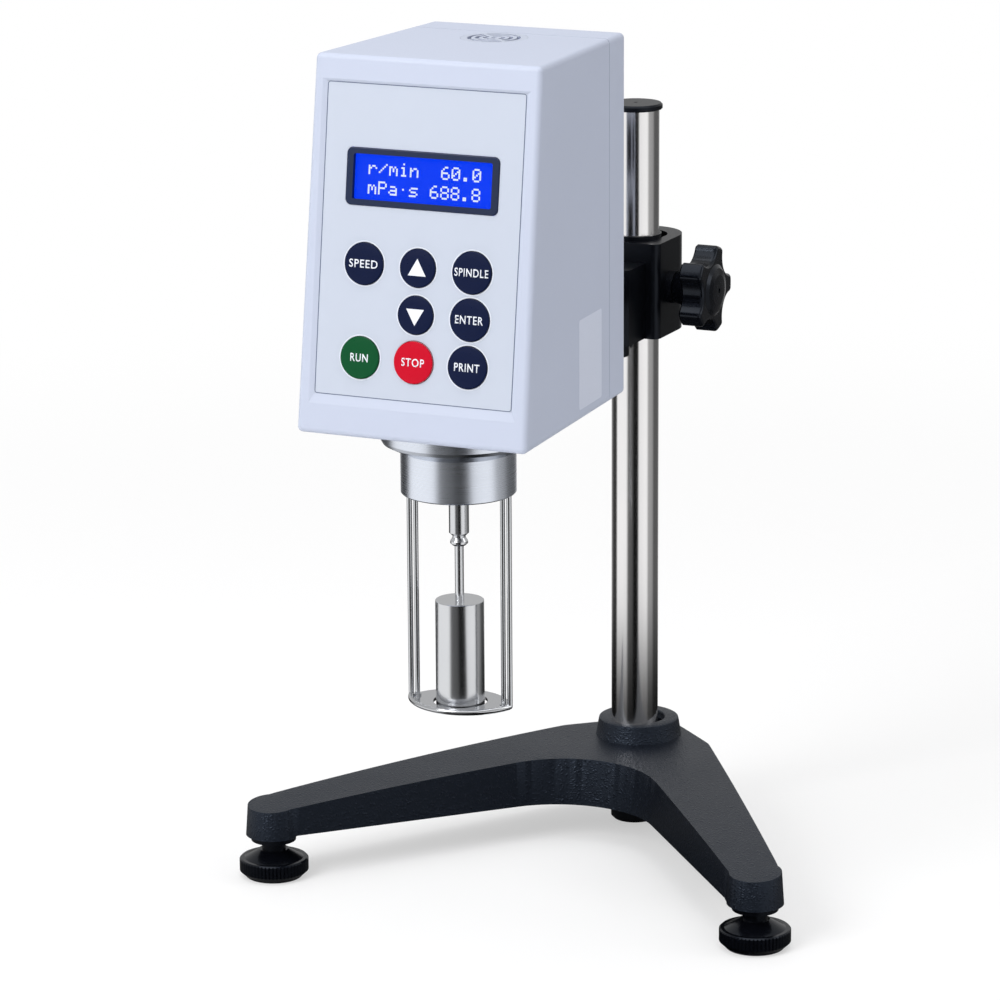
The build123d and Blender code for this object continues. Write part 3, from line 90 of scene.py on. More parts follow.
# %% Shader helpers
class Wire:
    """One shader value. Sums on it add Math nodes."""

    def __init__(self, finish, socket):
        self.finish = finish
        self.socket = socket

    def other(self, output):
        """Another output of the same node."""
        return Wire(self.finish, self.socket.node.outputs[output])

    def maths(self, operation, first, second):
        return self.finish.node("Math", {"operation": operation}, {0: first, 1: second})

    def __add__(self, value):
        return self.maths("ADD", self, value)

    def __radd__(self, value):
        return self.maths("ADD", value, self)

    def __mul__(self, value):
        return self.maths("MULTIPLY", self, value)

    def __rmul__(self, value):
        return self.maths("MULTIPLY", value, self)


class Finish:
    """A material: Principled shader, settings by socket name, and nodes on request."""

    def __init__(self, name, **settings):
        self.material = bpy.data.materials.new(name)
        self.material.use_nodes = True
        self.tree = self.material.node_tree
        self.shader = self.tree.nodes["Principled BSDF"]
        for socket, value in settings.items():
            self.set(socket.replace("_", " "), value)

    def set(self, socket, value):
        target = self.shader.inputs[socket]
        if isinstance(value, Wire):
            self.tree.links.new(value.socket, target)
        elif isinstance(value, (tuple, list)):
            target.default_value = (*value, 1.0) if len(value) == 3 else value
        else:
            target.default_value = value

    def node(self, kind, settings=None, inputs=None, output=0):
        made = self.tree.nodes.new("ShaderNode" + kind)
        for name, value in (settings or {}).items():
            if name == "stops":
                ramp = made.color_ramp
                while len(ramp.elements) < len(value):
                    ramp.elements.new(0.5)
                for element, (place, colour) in zip(ramp.elements, value):
                    element.position = place
                    element.color = (*colour, 1.0)
            else:
                setattr(made, name, value)
        for name, value in (inputs or {}).items():
            target = made.inputs[name]
            if isinstance(value, Wire):
                self.tree.links.new(value.socket, target)
            elif isinstance(value, (tuple, list)) and len(value) == 3 and target.type == "RGBA":
                target.default_value = (*value, 1.0)
            else:
                target.default_value = value
        return Wire(self, made.outputs[output])

    def place(self, scale=(1, 1, 1)):
        """Object coordinates in metres, stretched by the scale."""
        coords = self.node("TexCoord", None, None, "Object")
        return self.node("Mapping", None, {"Vector": coords, "Scale": scale})

    def noise(self, scale, detail=2.0, stretch=(1, 1, 1)):
        """Cloudy value, its scale in grains per metre."""
        return self.node("TexNoise", None, {"Vector": self.place(stretch), "Scale": scale, "Detail": detail})

    def shade(self, amount, light, dark):
        """Blend two colours by a wire."""
        return self.node("Mix", {"data_type": "RGBA"}, {0: amount, 6: light, 7: dark}, 2)

    def bump(self, height, strength, distance):
        self.set("Normal", self.node("Bump", None, {"Height": height, "Strength": strength,
                                                   "Distance": distance}))


def dress(finish, *names):
    """Give CAD solids a finish."""
    for name in names:
        slots = nodes[name].data.materials
        slots.clear()
        slots.append(finish.material)


def srgb(r, g, b):
    """Colour as a screen shows it, 0 to 255, to the linear values that shaders use."""
    def linear(v):
        v /= 255.0
        return v / 12.92 if v <= 0.04045 else ((v + 0.055) / 1.055) ** 2.4
    return (linear(r), linear(g), linear(b))


def darker(colour, share):
    return tuple(c * share for c in colour)


print("helpers Wire and Finish ready")

# %% [markdown]
# Everything printed or stuck on the instrument is a thin piece of its own. Each one is
# drawn flat in millimetres, given a little thickness and then carried to its place by one
# matrix, so the object itself stays untransformed at the origin and rides its CAD body.

# %% Helpers for pieces
def piece(name, mesh, finish, body, matrix=None, smooth=None):
    """Bmesh in millimetres to a finished object that moves with a CAD body.
    With a smooth angle, edges flatter than it are shaded round."""
    bmesh.ops.remove_doubles(mesh, verts=mesh.verts, dist=0.0005)
    bmesh.ops.recalc_face_normals(mesh, faces=mesh.faces)
    bmesh.ops.transform(mesh, matrix=(matrix or Matrix()) @ Matrix.Scale(MM, 4), verts=mesh.verts)
    data = bpy.data.meshes.new(name)
    mesh.to_mesh(data)
    mesh.free()
    if smooth:
        data.shade_smooth()
        data.set_sharp_from_angle(angle=math.radians(smooth))
    data.materials.append(finish.material)
    made = bpy.data.objects.new(name, data)
    bpy.context.scene.collection.objects.link(made)
    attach(made, body)
    return made


def thicken(mesh, depth):
    """Raise a flat drawing into a slab."""
    bmesh.ops.remove_doubles(mesh, verts=mesh.verts, dist=0.0005)
    raised = bmesh.ops.extrude_face_region(mesh, geom=list(mesh.faces))
    moved = [v for v in raised["geom"] if isinstance(v, bmesh.types.BMVert)]
    bmesh.ops.translate(mesh, verts=moved, vec=(0, 0, depth))
    return mesh


print("helpers piece and thicken ready")

# %% [markdown]
# The front of the head leans back by seven and a half degrees, and most prints lie on it.
# One matrix holds its foot, its upward direction and its outward one, so a spot on the
# front is given as millimetres across, up and out. How far a CAD solid stands out of the
# face can be measured on its vertices, and the display's text is placed by that.

# %% Leaning front
LEAN = math.radians(7.58)
FACE_FOOT = Vector((0.0, -0.272, 0.267))
FACE_OUT = Vector((0.0, -math.cos(LEAN), math.sin(LEAN)))
FACE_UP = Vector((0.0, math.sin(LEAN), math.cos(LEAN)))
face = Matrix.Translation(FACE_FOOT) @ Matrix(((1, 0, 0), FACE_UP, FACE_OUT)).transposed().to_4x4()


def on_face(across, up, out):
    """Matrix of a spot on the leaning front, in millimetres."""
    return face @ Matrix.Translation((across * MM, up * MM, out * MM))


def lift_of(node):
    """How far a CAD node stands out of the leaning front, in millimetres."""
    return max((v.co - FACE_FOOT).dot(FACE_OUT) for v in nodes[node].data.vertices) / MM


print("front face leans", round(math.degrees(LEAN), 2), "degrees")

# %% [markdown]
# The housing is moulded plastic with a fine satin skin. A single colour would look like a
# toy, so a soft cloud a few centimetres wide moves the tone by up to four percent, and a
# noise finer than a millimetre gives the skin its spark through bump and roughness.

# %% Housing finishes
CLOUD_SCALE = 14.0
SKIN_SPREAD = 0.12
SKIN_HEIGHT = 0.0004


def moulded(name, colour, roughness, grain=1400.0, depth=0.04, drift=0.96, shine=0.3):
    """Moulded plastic. Drift darkens the cloud, grain and depth set the skin."""
    finish = Finish(name, Specular_IOR_Level=shine)
    cloud = finish.noise(CLOUD_SCALE, 3.0)
    finish.set("Base Color", finish.shade(cloud, colour, darker(colour, drift)))
    speck = finish.noise(grain)
    finish.set("Roughness", speck * SKIN_SPREAD + (roughness - SKIN_SPREAD / 2))
    finish.bump(speck, depth, SKIN_HEIGHT)
    return finish


housing = moulded("housing_satin", srgb(185, 192, 210), 0.42)
panel_film = moulded("panel_film", srgb(186, 193, 207), 0.36, 2200.0, 0.02)
vent_plastic = moulded("vent_plastic", srgb(180, 187, 203), 0.45)
dress(housing, "head_shell", "rear_cover")
dress(panel_film, "panel_plate")
dress(vent_plastic, "vent_grille")
print("housing dressed in", housing.material.name, "and", panel_film.material.name)

# %% [markdown]
# The base is cast iron under a black wrinkle powder coat. The wrinkle is a network of
# soft worm-like ridges about a millimetre apart. Ridged noise makes that network on its
# own. The other black pieces are plastic and rubber, with a plain speck for their skin.

# %% Black coats
RIDGE_HEIGHT = 0.0006
SPECK_HEIGHT = 0.0002
SPECK_SPREAD = 0.1


def wrinkled(name, colour, roughness, size, depth):
    """Wrinkle coat. Size is in ridges per metre."""
    finish = Finish(name, Specular_IOR_Level=0.42, Specular_Tint=(0.62, 0.76, 1.0, 1.0))
    worms = finish.node("TexNoise", {"noise_type": "RIDGED_MULTIFRACTAL"},
                        {"Vector": finish.place(), "Scale": size, "Detail": 2.0, "Distortion": 0.4})
    cloud = finish.noise(30.0)
    finish.set("Base Color", finish.shade(cloud, colour, darker(colour, 0.8)))
    finish.set("Roughness", worms * -0.08 + (roughness + cloud * 0.08))
    finish.bump(worms, depth, RIDGE_HEIGHT)
    return finish


def black_plastic(name, colour, roughness, grain=900.0, depth=0.05, shine=0.2):
    finish = Finish(name, Specular_IOR_Level=shine, Specular_Tint=(0.72, 0.82, 1.0, 1.0))
    speck = finish.noise(grain)
    cloud = finish.noise(60.0)
    finish.set("Base Color", finish.shade(cloud, colour, darker(colour, 0.75)))
    finish.set("Roughness", speck * SPECK_SPREAD + (roughness - SPECK_SPREAD / 2))
    finish.bump(speck, depth, SPECK_HEIGHT)
    return finish


wrinkle_coat = wrinkled("wrinkle_coat", (0.0040, 0.0055, 0.0095), 0.36, 820.0, 0.8)
satin_black = black_plastic("satin_black", (0.0028, 0.0032, 0.0050), 0.32)
gloss_black = black_plastic("gloss_black", (0.0022, 0.0026, 0.0042), 0.2, 500.0, 0.03, 0.28)
rubber_black = black_plastic("rubber_black", (0.008, 0.008, 0.010), 0.6)
dress(wrinkle_coat, "base_casting")
dress(satin_black, "clamp_block", "support_arm", "column_cap", "arm_lock_screw", "column_liner",
      "power_inlet", "switch_frame", "power_switch", "key_switches")
dress(gloss_black, "star_knob")
dress(rubber_black, "rear_foot", "left_foot_pad", "right_foot_pad")
dress(gloss_black, "left_foot_wheel", "right_foot_wheel", "foot_inserts")
print("black pieces dressed in four coats")

# %% [markdown]
# The column and the guard are polished steel with faint drawn lines along them. The neck
# under the head is turned aluminium, so its lines run round it. Both come from one noise
# stretched hard along or across the height. Screws are plated, with no direction in their
# grain, and the pad that the clamp presses on the column is brass.

# %% Metals
LINE_SPREAD = 0.1
LINE_STRENGTH = 0.02
LINE_HEIGHT = 0.0002


def drawn_metal(name, colour, roughness, stretch):
    """Bright metal. Stretch is the lines' scale per metre along x, y and z."""
    finish = Finish(name, Metallic=1.0)
    lines = finish.noise(1.0, 3.0, stretch)
    smear = finish.noise(25.0)
    finish.set("Base Color", finish.shade(smear, colour, darker(colour, 0.93)))
    finish.set("Roughness", lines * LINE_SPREAD + (roughness - LINE_SPREAD / 2 + smear * 0.04))
    finish.bump(lines, LINE_STRENGTH, LINE_HEIGHT)
    return finish


column_steel = drawn_metal("column_steel", (0.78, 0.77, 0.77), 0.14, (2600, 2600, 12))
polished_steel = drawn_metal("polished_steel", (0.58, 0.59, 0.61), 0.12, (1800, 1800, 40))
turned_steel = drawn_metal("turned_steel", (0.64, 0.65, 0.67), 0.18, (30, 30, 3200))
turned_aluminium = drawn_metal("turned_aluminium", (0.72, 0.76, 0.84), 0.26, (25, 25, 3600))
plated_steel = drawn_metal("plated_steel", (0.62, 0.63, 0.65), 0.3, (600, 600, 600))
brass = drawn_metal("brass", (0.75, 0.55, 0.25), 0.3, (30, 30, 2000))
dress(column_steel, "column")
dress(polished_steel, "guard_wire", "guard_plate", "guard_posts")
dress(turned_steel, "spindle", "coupling_sleeve", "spindle_shaft", "motor_shaft", "spindle_bearing")
dress(turned_aluminium, "neck", "chassis_frame", "motor_plate")
dress(plated_steel, "column_bolt", "column_washer", "clamp_screw", "arm_screws", "cover_screws",
      "neck_screws", "board_screws", "tower_posts", "hairspring", "serial_port", "drive_motor")
dress(brass, "pressure_pad")
print("metal pieces dressed in six finishes")

# %% [markdown]
# The display and the buttons carry the only strong colours. The display is lit from
# behind, so its blue is an emission that stays the same from every side. The buttons are
# moulded discs with a soft gloss.

# %% Display and button finishes
def lit(name, colour):
    """Self-lit finish that shows its colour as written."""
    finish = Finish(name, Roughness=0.3, Specular_IOR_Level=0.0)
    glow = finish.noise(40.0, 1.0)
    finish.set("Base Color", (0.0, 0.0, 0.0))
    finish.set("Emission Color", finish.shade(glow, colour, darker(colour, 0.9)))
    finish.set("Emission Strength", 1.0)
    return finish


lcd_blue = lit("lcd_blue", srgb(0, 58, 250))
lcd_dot = lit("lcd_dot", srgb(236, 246, 255))
bezel_navy = moulded("bezel_navy", srgb(20, 33, 62), 0.3, 1200.0, 0.02)
button_navy = moulded("button_navy", srgb(2, 16, 52), 0.3, 1200.0, 0.02, 0.9, 0.16)
button_green = moulded("button_green", srgb(0, 74, 38), 0.3, 1200.0, 0.02, 0.9, 0.16)
button_red = moulded("button_red", srgb(190, 0, 34), 0.3, 1200.0, 0.02, 0.9, 0.16)
board_green = moulded("board_green", srgb(20, 84, 48), 0.5)
ink_white = moulded("ink_white", srgb(226, 230, 238), 0.4)
edge_white = moulded("edge_white", srgb(218, 223, 234), 0.35)
# Painted shade: the grey of the panel's edge groove, standing in for the dark of a narrow gap.
groove_shade_grey = moulded("groove_shade_grey", srgb(104, 114, 136), 0.5)
label_white = moulded("label_white", srgb(206, 212, 228), 0.3)
window_clear = Finish("window_clear", Roughness=0.06, Alpha=0.02, Specular_IOR_Level=0.1)
tint = window_clear.noise(30.0)
window_clear.set("Base Color", window_clear.shade(tint, (0.2, 0.3, 1.0), (0.15, 0.25, 0.9)))
dress(lcd_blue, "lcd_module")
dress(bezel_navy, "lcd_bezel")
dress(window_clear, "lcd_window")
dress(board_green, "keypad_board", "main_board")
dress(satin_black, "spindle_disc", "drive_disc")
dress(button_navy, "button_speed", "button_up", "button_spindle", "button_down", "button_enter",
      "button_print")
dress(button_green, "button_run")
dress(button_red, "button_stop")
print(len(bpy.data.materials), "materials so far")

# %% [markdown]
# The display writes with a grid of five by seven dots per letter. Each letter is a list
# of seven rows, and every star becomes one small raised square. Two rows of eleven letters
# show the speed and the reading.

# %% Display text
DOTS = {
    "r": ("", "", "* **", "**  *", "*", "*", "*"),
    "/": ("", "    *", "   *", "  *", " *", "*", ""),
    "m": ("", "", "** *", "* * *", "* * *", "*   *", "*   *"),
    "i": ("  *", "", " **", "  *", "  *", "  *", " ***"),
    "n": ("", "", "* **", "**  *", "*   *", "*   *", "*   *"),
    "P": ("****", "*   *", "*   *", "****", "*", "*", "*"),
    "a": ("", "", " ***", "    *", " ****", "*   *", " ****"),
    "·": ("", "", "", "  *", "", "", ""),
    "s": ("", "", " ****", "*", " ***", "    *", "****"),
    "0": (" ***", "*   *", "*  **", "* * *", "**  *", "*   *", " ***"),
    "6": ("  **", " *", "*", "****", "*   *", "*   *", " ***"),
    "8": (" ***", "*   *", "*   *", " ***", "*   *", "*   *", " ***"),
    ".": ("", "", "", "", "", " **", " **"),
    " ": ("",) * 7,
}
LETTER_STEP = 5.38
DOT_STEP = 0.89
DOT_SIDE = 0.84
TEXT_LEFT = -30.0
ROW_TOPS = (130.9, 121.7)
DOT_DEPTH = 0.03
display_lift = lift_of("lcd_module")
dots = bmesh.new()
for line, top in zip(("r/min  60.0", "mPa·s 688.8"), ROW_TOPS):
    for column, letter in enumerate(line):
        for row, marks in enumerate(DOTS[letter]):
            for place, mark in enumerate(marks):
                if mark != "*":
                    continue
                x = TEXT_LEFT + LETTER_STEP * column + DOT_STEP * (place + 0.5)
                y = top - DOT_STEP * (row + 0.5)
                bmesh.ops.create_grid(dots, x_segments=1, y_segments=1, size=DOT_SIDE / 2,
                                      matrix=Matrix.Translation((x, y, 0)))
print("display dots", len(dots.faces))
piece("display_text", thicken(dots, DOT_DEPTH), lcd_dot, "head", on_face(0, 0, display_lift + 0.01))

# %% [markdown]
# The words on the buttons are printed ink. They are made six hundredths of a millimetre
# thick, a third of it below the surface so that no gap shows, and follow the shallow dome
# under them. A text curve is turned into a mesh first, fitted to its printed width and
# height, and every point is then lowered by the dome's own curve. The two arrows start as
# one triangle each, subdivided so that it can bend too.

# %% Button words
KEY_LIFT = 0.6
DOME = 0.25
INK_DEPTH = 0.06
INK_SUNK = 0.02
WORD_HEIGHT = 3.9
WORD_WEIGHT = 0.12
LETTER_SPACE = 1.12


def lettering(word, width):
    """Bold word as a flat mesh, centred on its own middle, in millimetres."""
    curve = bpy.data.curves.new(word, "FONT")
    curve.body = word
    curve.size = 10.0
    curve.offset = WORD_WEIGHT
    curve.space_character = LETTER_SPACE
    curve.resolution_u = 4
    holder = bpy.data.objects.new(word, curve)
    bpy.context.scene.collection.objects.link(holder)
    shape = bpy.data.meshes.new_from_object(holder.evaluated_get(bpy.context.evaluated_depsgraph_get()))
    bpy.data.objects.remove(holder)
    flat = bmesh.new()
    flat.from_mesh(shape)
    low = Vector((min(v.co.x for v in flat.verts), min(v.co.y for v in flat.verts), 0))
    high = Vector((max(v.co.x for v in flat.verts), max(v.co.y for v in flat.verts), 0))
    bmesh.ops.translate(flat, verts=flat.verts, vec=-(low + high) / 2)
    bmesh.ops.scale(flat, verts=flat.verts, vec=(width / (high.x - low.x), WORD_HEIGHT / (high.y - low.y), 1))
    return flat


def triangle(width, high, low):
    """Arrow head with its base level, in millimetres."""
    mesh = bmesh.new()
    corners = [mesh.verts.new(c) for c in ((-width / 2, low, 0), (width / 2, low, 0), (0, high, 0))]
    mesh.faces.new(corners)
    bmesh.ops.subdivide_edges(mesh, edges=mesh.edges, cuts=6, use_grid_fill=True)
    return mesh


def onto_dome(mesh, r):
    """Lower each point by the curve of a button of radius r."""
    for v in mesh.verts:
        v.co.z -= DOME * (v.co.x ** 2 + v.co.y ** 2) / r ** 2
    return mesh


# Across, up and radius, then a word with its width or an arrow's width, tip and base.
BUTTONS = {
    "speed": (-28.0, 82.8, 10.0, "SPEED", 14.9),
    "up": (0.0, 82.8, 9.1, None, (9.3, 4.5, -3.6)),
    "spindle": (28.0, 82.8, 10.0, "SPINDLE", 17.4),
    "down": (0.0, 60.7, 9.1, None, (9.2, -5.0, 2.9)),
    "enter": (28.0, 60.7, 10.0, "ENTER", 14.4),
    "run": (-28.0, 38.4, 10.0, "RUN", 9.2),
    "stop": (0.0, 38.4, 9.1, "STOP", 12.0),
    "print": (28.0, 38.4, 10.0, "PRINT", 13.0),
}
for key, (across, high, r, word, size) in BUTTONS.items():
    if word:
        mark = lettering(word, size)
    else:
        mark = triangle(*size)
    mark = onto_dome(thicken(mark, INK_DEPTH), r)
    piece("mark_" + key, mark, ink_white, "key_" + key, on_face(across, high, KEY_LIFT - INK_SUNK))
print("marks on", len(BUTTONS), "buttons")

# %% [markdown]
# Each button sits in a light moulded rim. The printed panel ends in a fine groove whose shade
# is painted: a flat dark ring lies where the groove's shadow would fall. Both are flat rings:
# a circle or a rounded rectangle inset once, with the middle taken away.

# %% Rims and groove
def rounded_rectangle(width, height, corner, steps=6):
    """Flat face with round corners, in millimetres."""
    mesh = bmesh.new()
    bmesh.ops.create_grid(mesh, x_segments=1, y_segments=1, size=0.5)
    bmesh.ops.scale(mesh, verts=mesh.verts, vec=(width, height, 1))
    bmesh.ops.bevel(mesh, geom=mesh.verts, offset=corner, segments=steps, profile=0.5, affect="VERTICES",
                    offset_type="OFFSET", material=-1)
    return mesh


def ring_of(mesh, width):
    """Keep only a border of the flat face."""
    outer = list(mesh.faces)
    bmesh.ops.inset_region(mesh, faces=outer, thickness=width, use_even_offset=True,
                           use_boundary=True)
    bmesh.ops.delete(mesh, geom=outer, context="FACES")
    return mesh


PANEL_LIFT = -0.8
RIM_REACH, RIM_WIDTH, RIM_DEPTH = 0.95, 0.7, 0.1
GROOVE_SIZE, GROOVE_WIDTH, GROOVE_DEPTH = (102.6, 147.8, 1.4), 0.4, 0.05
GROOVE_LOW, GROOVE_HIGH = 19.5, 167.4
for key, (across, high, r, *_) in BUTTONS.items():
    rim = bmesh.new()
    bmesh.ops.create_circle(rim, cap_ends=True, segments=64, radius=r + RIM_REACH)
    rim = thicken(ring_of(rim, RIM_WIDTH), RIM_DEPTH)
    piece("rim_" + key, rim, edge_white, "head", on_face(across, high, PANEL_LIFT))
# The groove is a flat dark sheet of painted shade, not a cut in the panel.
groove = thicken(ring_of(rounded_rectangle(*GROOVE_SIZE), GROOVE_WIDTH), GROOVE_DEPTH)
print("groove faces", len(groove.faces))
piece("panel_groove_shade", groove, groove_shade_grey, "head", on_face(0, (GROOVE_LOW + GROOVE_HIGH) / 2, PANEL_LIFT))

# %% [markdown]
# The rating label on the right side stays bare: a white plate a tenth of a millimetre
# thick with rounded corners, laid on the slightly tapering wall.

# %% Side label
FRONT_HALF, REAR_HALF, WALL_LENGTH, WALL_FRONT = 60.0, 51.3, 138.0, 272.0
LABEL_SIZE, LABEL_DEPTH = (31.6, 43.9, 1.4), 0.1
LABEL_BACK, LABEL_UP = 183.8, 294.45
TAPER = math.atan((FRONT_HALF - REAR_HALF) / WALL_LENGTH)
label = thicken(rounded_rectangle(*LABEL_SIZE), LABEL_DEPTH)
wall_x = FRONT_HALF - (WALL_FRONT - LABEL_BACK) * math.tan(TAPER)
side_out = Vector((math.cos(TAPER), math.sin(TAPER), 0.0))
side_back = Vector((-math.sin(TAPER), math.cos(TAPER), 0.0))
side = Matrix.Translation((wall_x * MM, -LABEL_BACK * MM, LABEL_UP * MM)) @ Matrix(
    (side_back, Vector((0, 0, 1)), side_out)).transposed().to_4x4()
piece("side_label", label, label_white, "head", side)
print("side label at x", round(wall_x, 1))

# %% [markdown]
# The two legs end in round bosses, one over each levelling foot. Such a base is cast in
# sand, so every wall leans by a few degrees to let the pattern out, the top edge is
# rounded, and the boss stands a little proud of the leg. The outline is made of arcs and
# their common tangents: hub, shoulder, boss and the crotch between the legs. Half of it is
# worked out, and the other half is its mirror.

# %% Outline of the base
LEG = 210.5
LEG_TURN = math.radians(39.4)
FOOT = Vector((LEG * math.sin(LEG_TURN), -LEG * math.cos(LEG_TURN), 0.0))
HUB = Vector((0.0, 5.5, 0.0))
SHOULDER_BACK = Vector((30.0, -8.0, 0.0))
SHOULDER_FRONT = Vector((15.0, -11.5, 0.0))
HUB_R, SHOULDER_R, LEG_R, BOSS_R, CROTCH_R = 25.5, 15.2, 11.6, 12.5, 51.2


def shared_normal(a, r_a, b, r_b, side):
    """Direction of the normal that two circles' outer tangent has."""
    way = b - a
    return math.atan2(way.y, way.x) + side * math.acos((r_a - r_b) / way.length)


def arc(centre, r, start, end, step=5.0):
    """Points along a circle between two directions."""
    count = max(2, round(abs(math.degrees(end - start)) / step))
    turns = [start + (end - start) * i / count for i in range(count + 1)]
    return [centre + Vector((r * math.cos(t), r * math.sin(t), 0.0)) for t in turns]


behind = shared_normal(HUB, HUB_R, SHOULDER_BACK, SHOULDER_R, 1)
outer = shared_normal(SHOULDER_BACK, SHOULDER_R, FOOT, LEG_R, 1)
inner = shared_normal(SHOULDER_FRONT, SHOULDER_R, FOOT, LEG_R, -1)
reach = SHOULDER_FRONT.dot(Vector((math.cos(inner), math.sin(inner), 0.0))) + SHOULDER_R
crotch = Vector((0.0, (reach + CROTCH_R) / math.sin(inner), 0.0))
proud = math.acos(LEG_R / BOSS_R)
half = arc(HUB, HUB_R, math.pi / 2, behind)[1:]
half += arc(SHOULDER_BACK, SHOULDER_R, behind, outer)
half += arc(FOOT, BOSS_R, outer + proud, inner - proud, 6.0)
half += arc(crotch, CROTCH_R, inner + math.pi, math.pi / 2)
top_point = HUB + Vector((0.0, HUB_R, 0.0))
outline = [top_point] + half + [Vector((-v.x, v.y, 0.0)) for v in reversed(half[:-1])]
print("outline points", len(outline))

# %% [markdown]
# One face fills the outline. A single large face can't bend, so planes cut it across every
# six millimetres along the legs and every twelve the other way. At each point of its edge
# the direction straight out is kept for the next step, and the face is then extruded.

# %% Slab of the base
CUTS_ALONG = range(-174, 28, 6)
CUTS_ACROSS = range(-132, 138, 12)
MERGE = 0.05


def cut(mesh, place, normal):
    bmesh.ops.bisect_plane(mesh, geom=mesh.verts[:] + mesh.edges[:] + mesh.faces[:], plane_co=place,
                           plane_no=normal)


cast = bmesh.new()
cast.faces.new([cast.verts.new(v) for v in outline])
bmesh.ops.recalc_face_normals(cast, faces=cast.faces)
for y in CUTS_ALONG:
    cut(cast, (0, y, 0), (0, 1, 0))
for x in CUTS_ACROSS:
    cut(cast, (x, 0, 0), (1, 0, 0))
bmesh.ops.remove_doubles(cast, verts=cast.verts, dist=MERGE)
edge_out = {}
for edge in cast.edges:
    if edge.is_boundary:
        middle = edge.link_faces[0].calc_center_median()
        along = (edge.verts[1].co - edge.verts[0].co).normalized()
        outward = Vector((along.y, -along.x, 0.0))
        if outward.dot(edge.verts[0].co - middle) < 0:
            outward = -outward
        for v in edge.verts:
            edge_out[v] = (edge_out[v] + outward) if v in edge_out else outward
outward_at = {tuple(round(c, 3) for c in v.co): out.normalized() for v, out in edge_out.items()}
lower = bmesh.ops.extrude_face_region(cast, geom=list(cast.faces), use_keep_orig=True)
low_verts = {v for v in lower["geom"] if isinstance(v, bmesh.types.BMVert)}
print("slab faces", len(cast.faces), "with", len(outward_at), "points on its edge")

# %% [markdown]
# Every point now gets its height. The top bows down towards the feet, close to an arc with
# a radius of nearly two metres, and the underside slopes and is level under the bosses.
# Then the edge points move out by the draft: the lower they lie, the further. A bevel on
# the edges of the top gives the rounding that a casting has.

# %% Bow, draft and rounded edge
TOP, BOW_R = 45.5, 1950.0
UNDER, UNDER_SLOPE, UNDER_STEP = 17.0, math.tan(math.radians(1.93)), 1.4
DRAFT_FROM, BOSS_DRAFT, LEG_DRAFT = 47.5, 4.0, 5.0
EDGE_ROUND = 2.2
OTHER_FOOT = Vector((-FOOT.x, FOOT.y, 0.0))
for v in cast.verts:
    out = outward_at.get(tuple(round(c, 3) for c in v.co))
    near_foot = min((v.co - FOOT).length, (v.co - OTHER_FOOT).length) < BOSS_R + 0.1
    if v in low_verts:
        level = UNDER - UNDER_SLOPE * (FOOT.y if near_foot else v.co.y) + (0.0 if near_foot else UNDER_STEP)
    else:
        level = TOP - v.co.y ** 2 / (2 * BOW_R)
    v.co.z = level
    if out:
        lean = math.tan(math.radians(BOSS_DRAFT if near_foot else LEG_DRAFT))
        v.co += out * (DRAFT_FROM - level) * lean
upper = [e for e in cast.edges if len(e.link_faces) == 2 and all(v not in low_verts for v in e.verts)
         and e.calc_face_angle(0.0) > 1.0]
bmesh.ops.bevel(cast, geom=upper, offset=EDGE_ROUND, segments=4, profile=0.5, affect="EDGES", material=-1,
                clamp_overlap=True)
print("edges rounded", len(upper))

# %% [markdown]
# The column stands in a turned collar on the hub. A collar is a body of revolution, so its
# section is drawn once as pairs of radius and height and spun a full turn. It is put into
# the same mesh as the casting, and the whole takes the place of the frame's own base.

# %% Collar and finished base
COLLAR = [(13.2, 40.0), (23.6, 40.0), (23.2, 44.6), (22.6, 46.2), (21.4, 53.6), (21.1, 54.6), (20.4, 55.0),
          (14.6, 55.0), (14.0, 54.6), (13.6, 52.0), (13.2, 51.5), (13.2, 40.0)]
SMOOTH_BELOW = 32.0


def turned(profile, centre=(0.0, 0.0), steps=96):
    """Body of revolution from (radius, height) pairs, in millimetres."""
    mesh = bmesh.new()
    line = [mesh.verts.new((r, 0.0, z)) for r, z in profile]
    edges = [mesh.edges.new(pair) for pair in zip(line, line[1:])]
    bmesh.ops.spin(mesh, geom=line + edges, cent=(0, 0, 0), axis=(0, 0, 1), angle=2 * math.pi, steps=steps,
                   use_merge=True)
    bmesh.ops.remove_doubles(mesh, verts=mesh.verts, dist=0.001)
    bmesh.ops.translate(mesh, verts=mesh.verts, vec=(*centre, 0.0))
    return mesh


def join(mesh, extra):
    """Put one bmesh into another."""
    data = bpy.data.meshes.new("part")
    extra.to_mesh(data)
    extra.free()
    mesh.from_mesh(data)
    bpy.data.meshes.remove(data)
    return mesh


join(cast, turned(COLLAR, HUB.xy))
print("base faces", len(cast.faces))
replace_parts(piece("cast_base", cast, wrinkle_coat, "stand", smooth=SMOOTH_BELOW), "base_casting")

# %% [markdown]
# The studio is a white sweep. Near the instrument the camera sees half pale paint and half
# even white, so the legs keep a soft shadow. Further away it sees white only. The white is
# there for camera rays alone, so it adds no light to the instrument.

# %% Floor
FLOOR_SIZE = 14.0
WHITE_FROM, WHITE_BY, NEAR_WHITE = 0.3, 1.3, 0.5
floor_mesh = bmesh.new()
bmesh.ops.create_grid(floor_mesh, x_segments=1, y_segments=1, size=FLOOR_SIZE)
floor_data = bpy.data.meshes.new("floor")
floor_mesh.to_mesh(floor_data)
floor = bpy.data.objects.new("floor", floor_data)
bpy.context.scene.collection.objects.link(floor)

floor_paint = Finish("floor_paint", Roughness=0.6)
spot = floor_paint.place()
far = floor_paint.node("VectorMath", {"operation": "LENGTH"}, {0: spot}, "Value")


def by_distance(start, end, low, high):
    """Soft step from low to high between two distances from the column, in metres."""
    return floor_paint.node("MapRange", {"interpolation_type": "SMOOTHSTEP"},
                            {"Value": far, "From Min": start, "From Max": end, "To Min": low, "To Max": high})


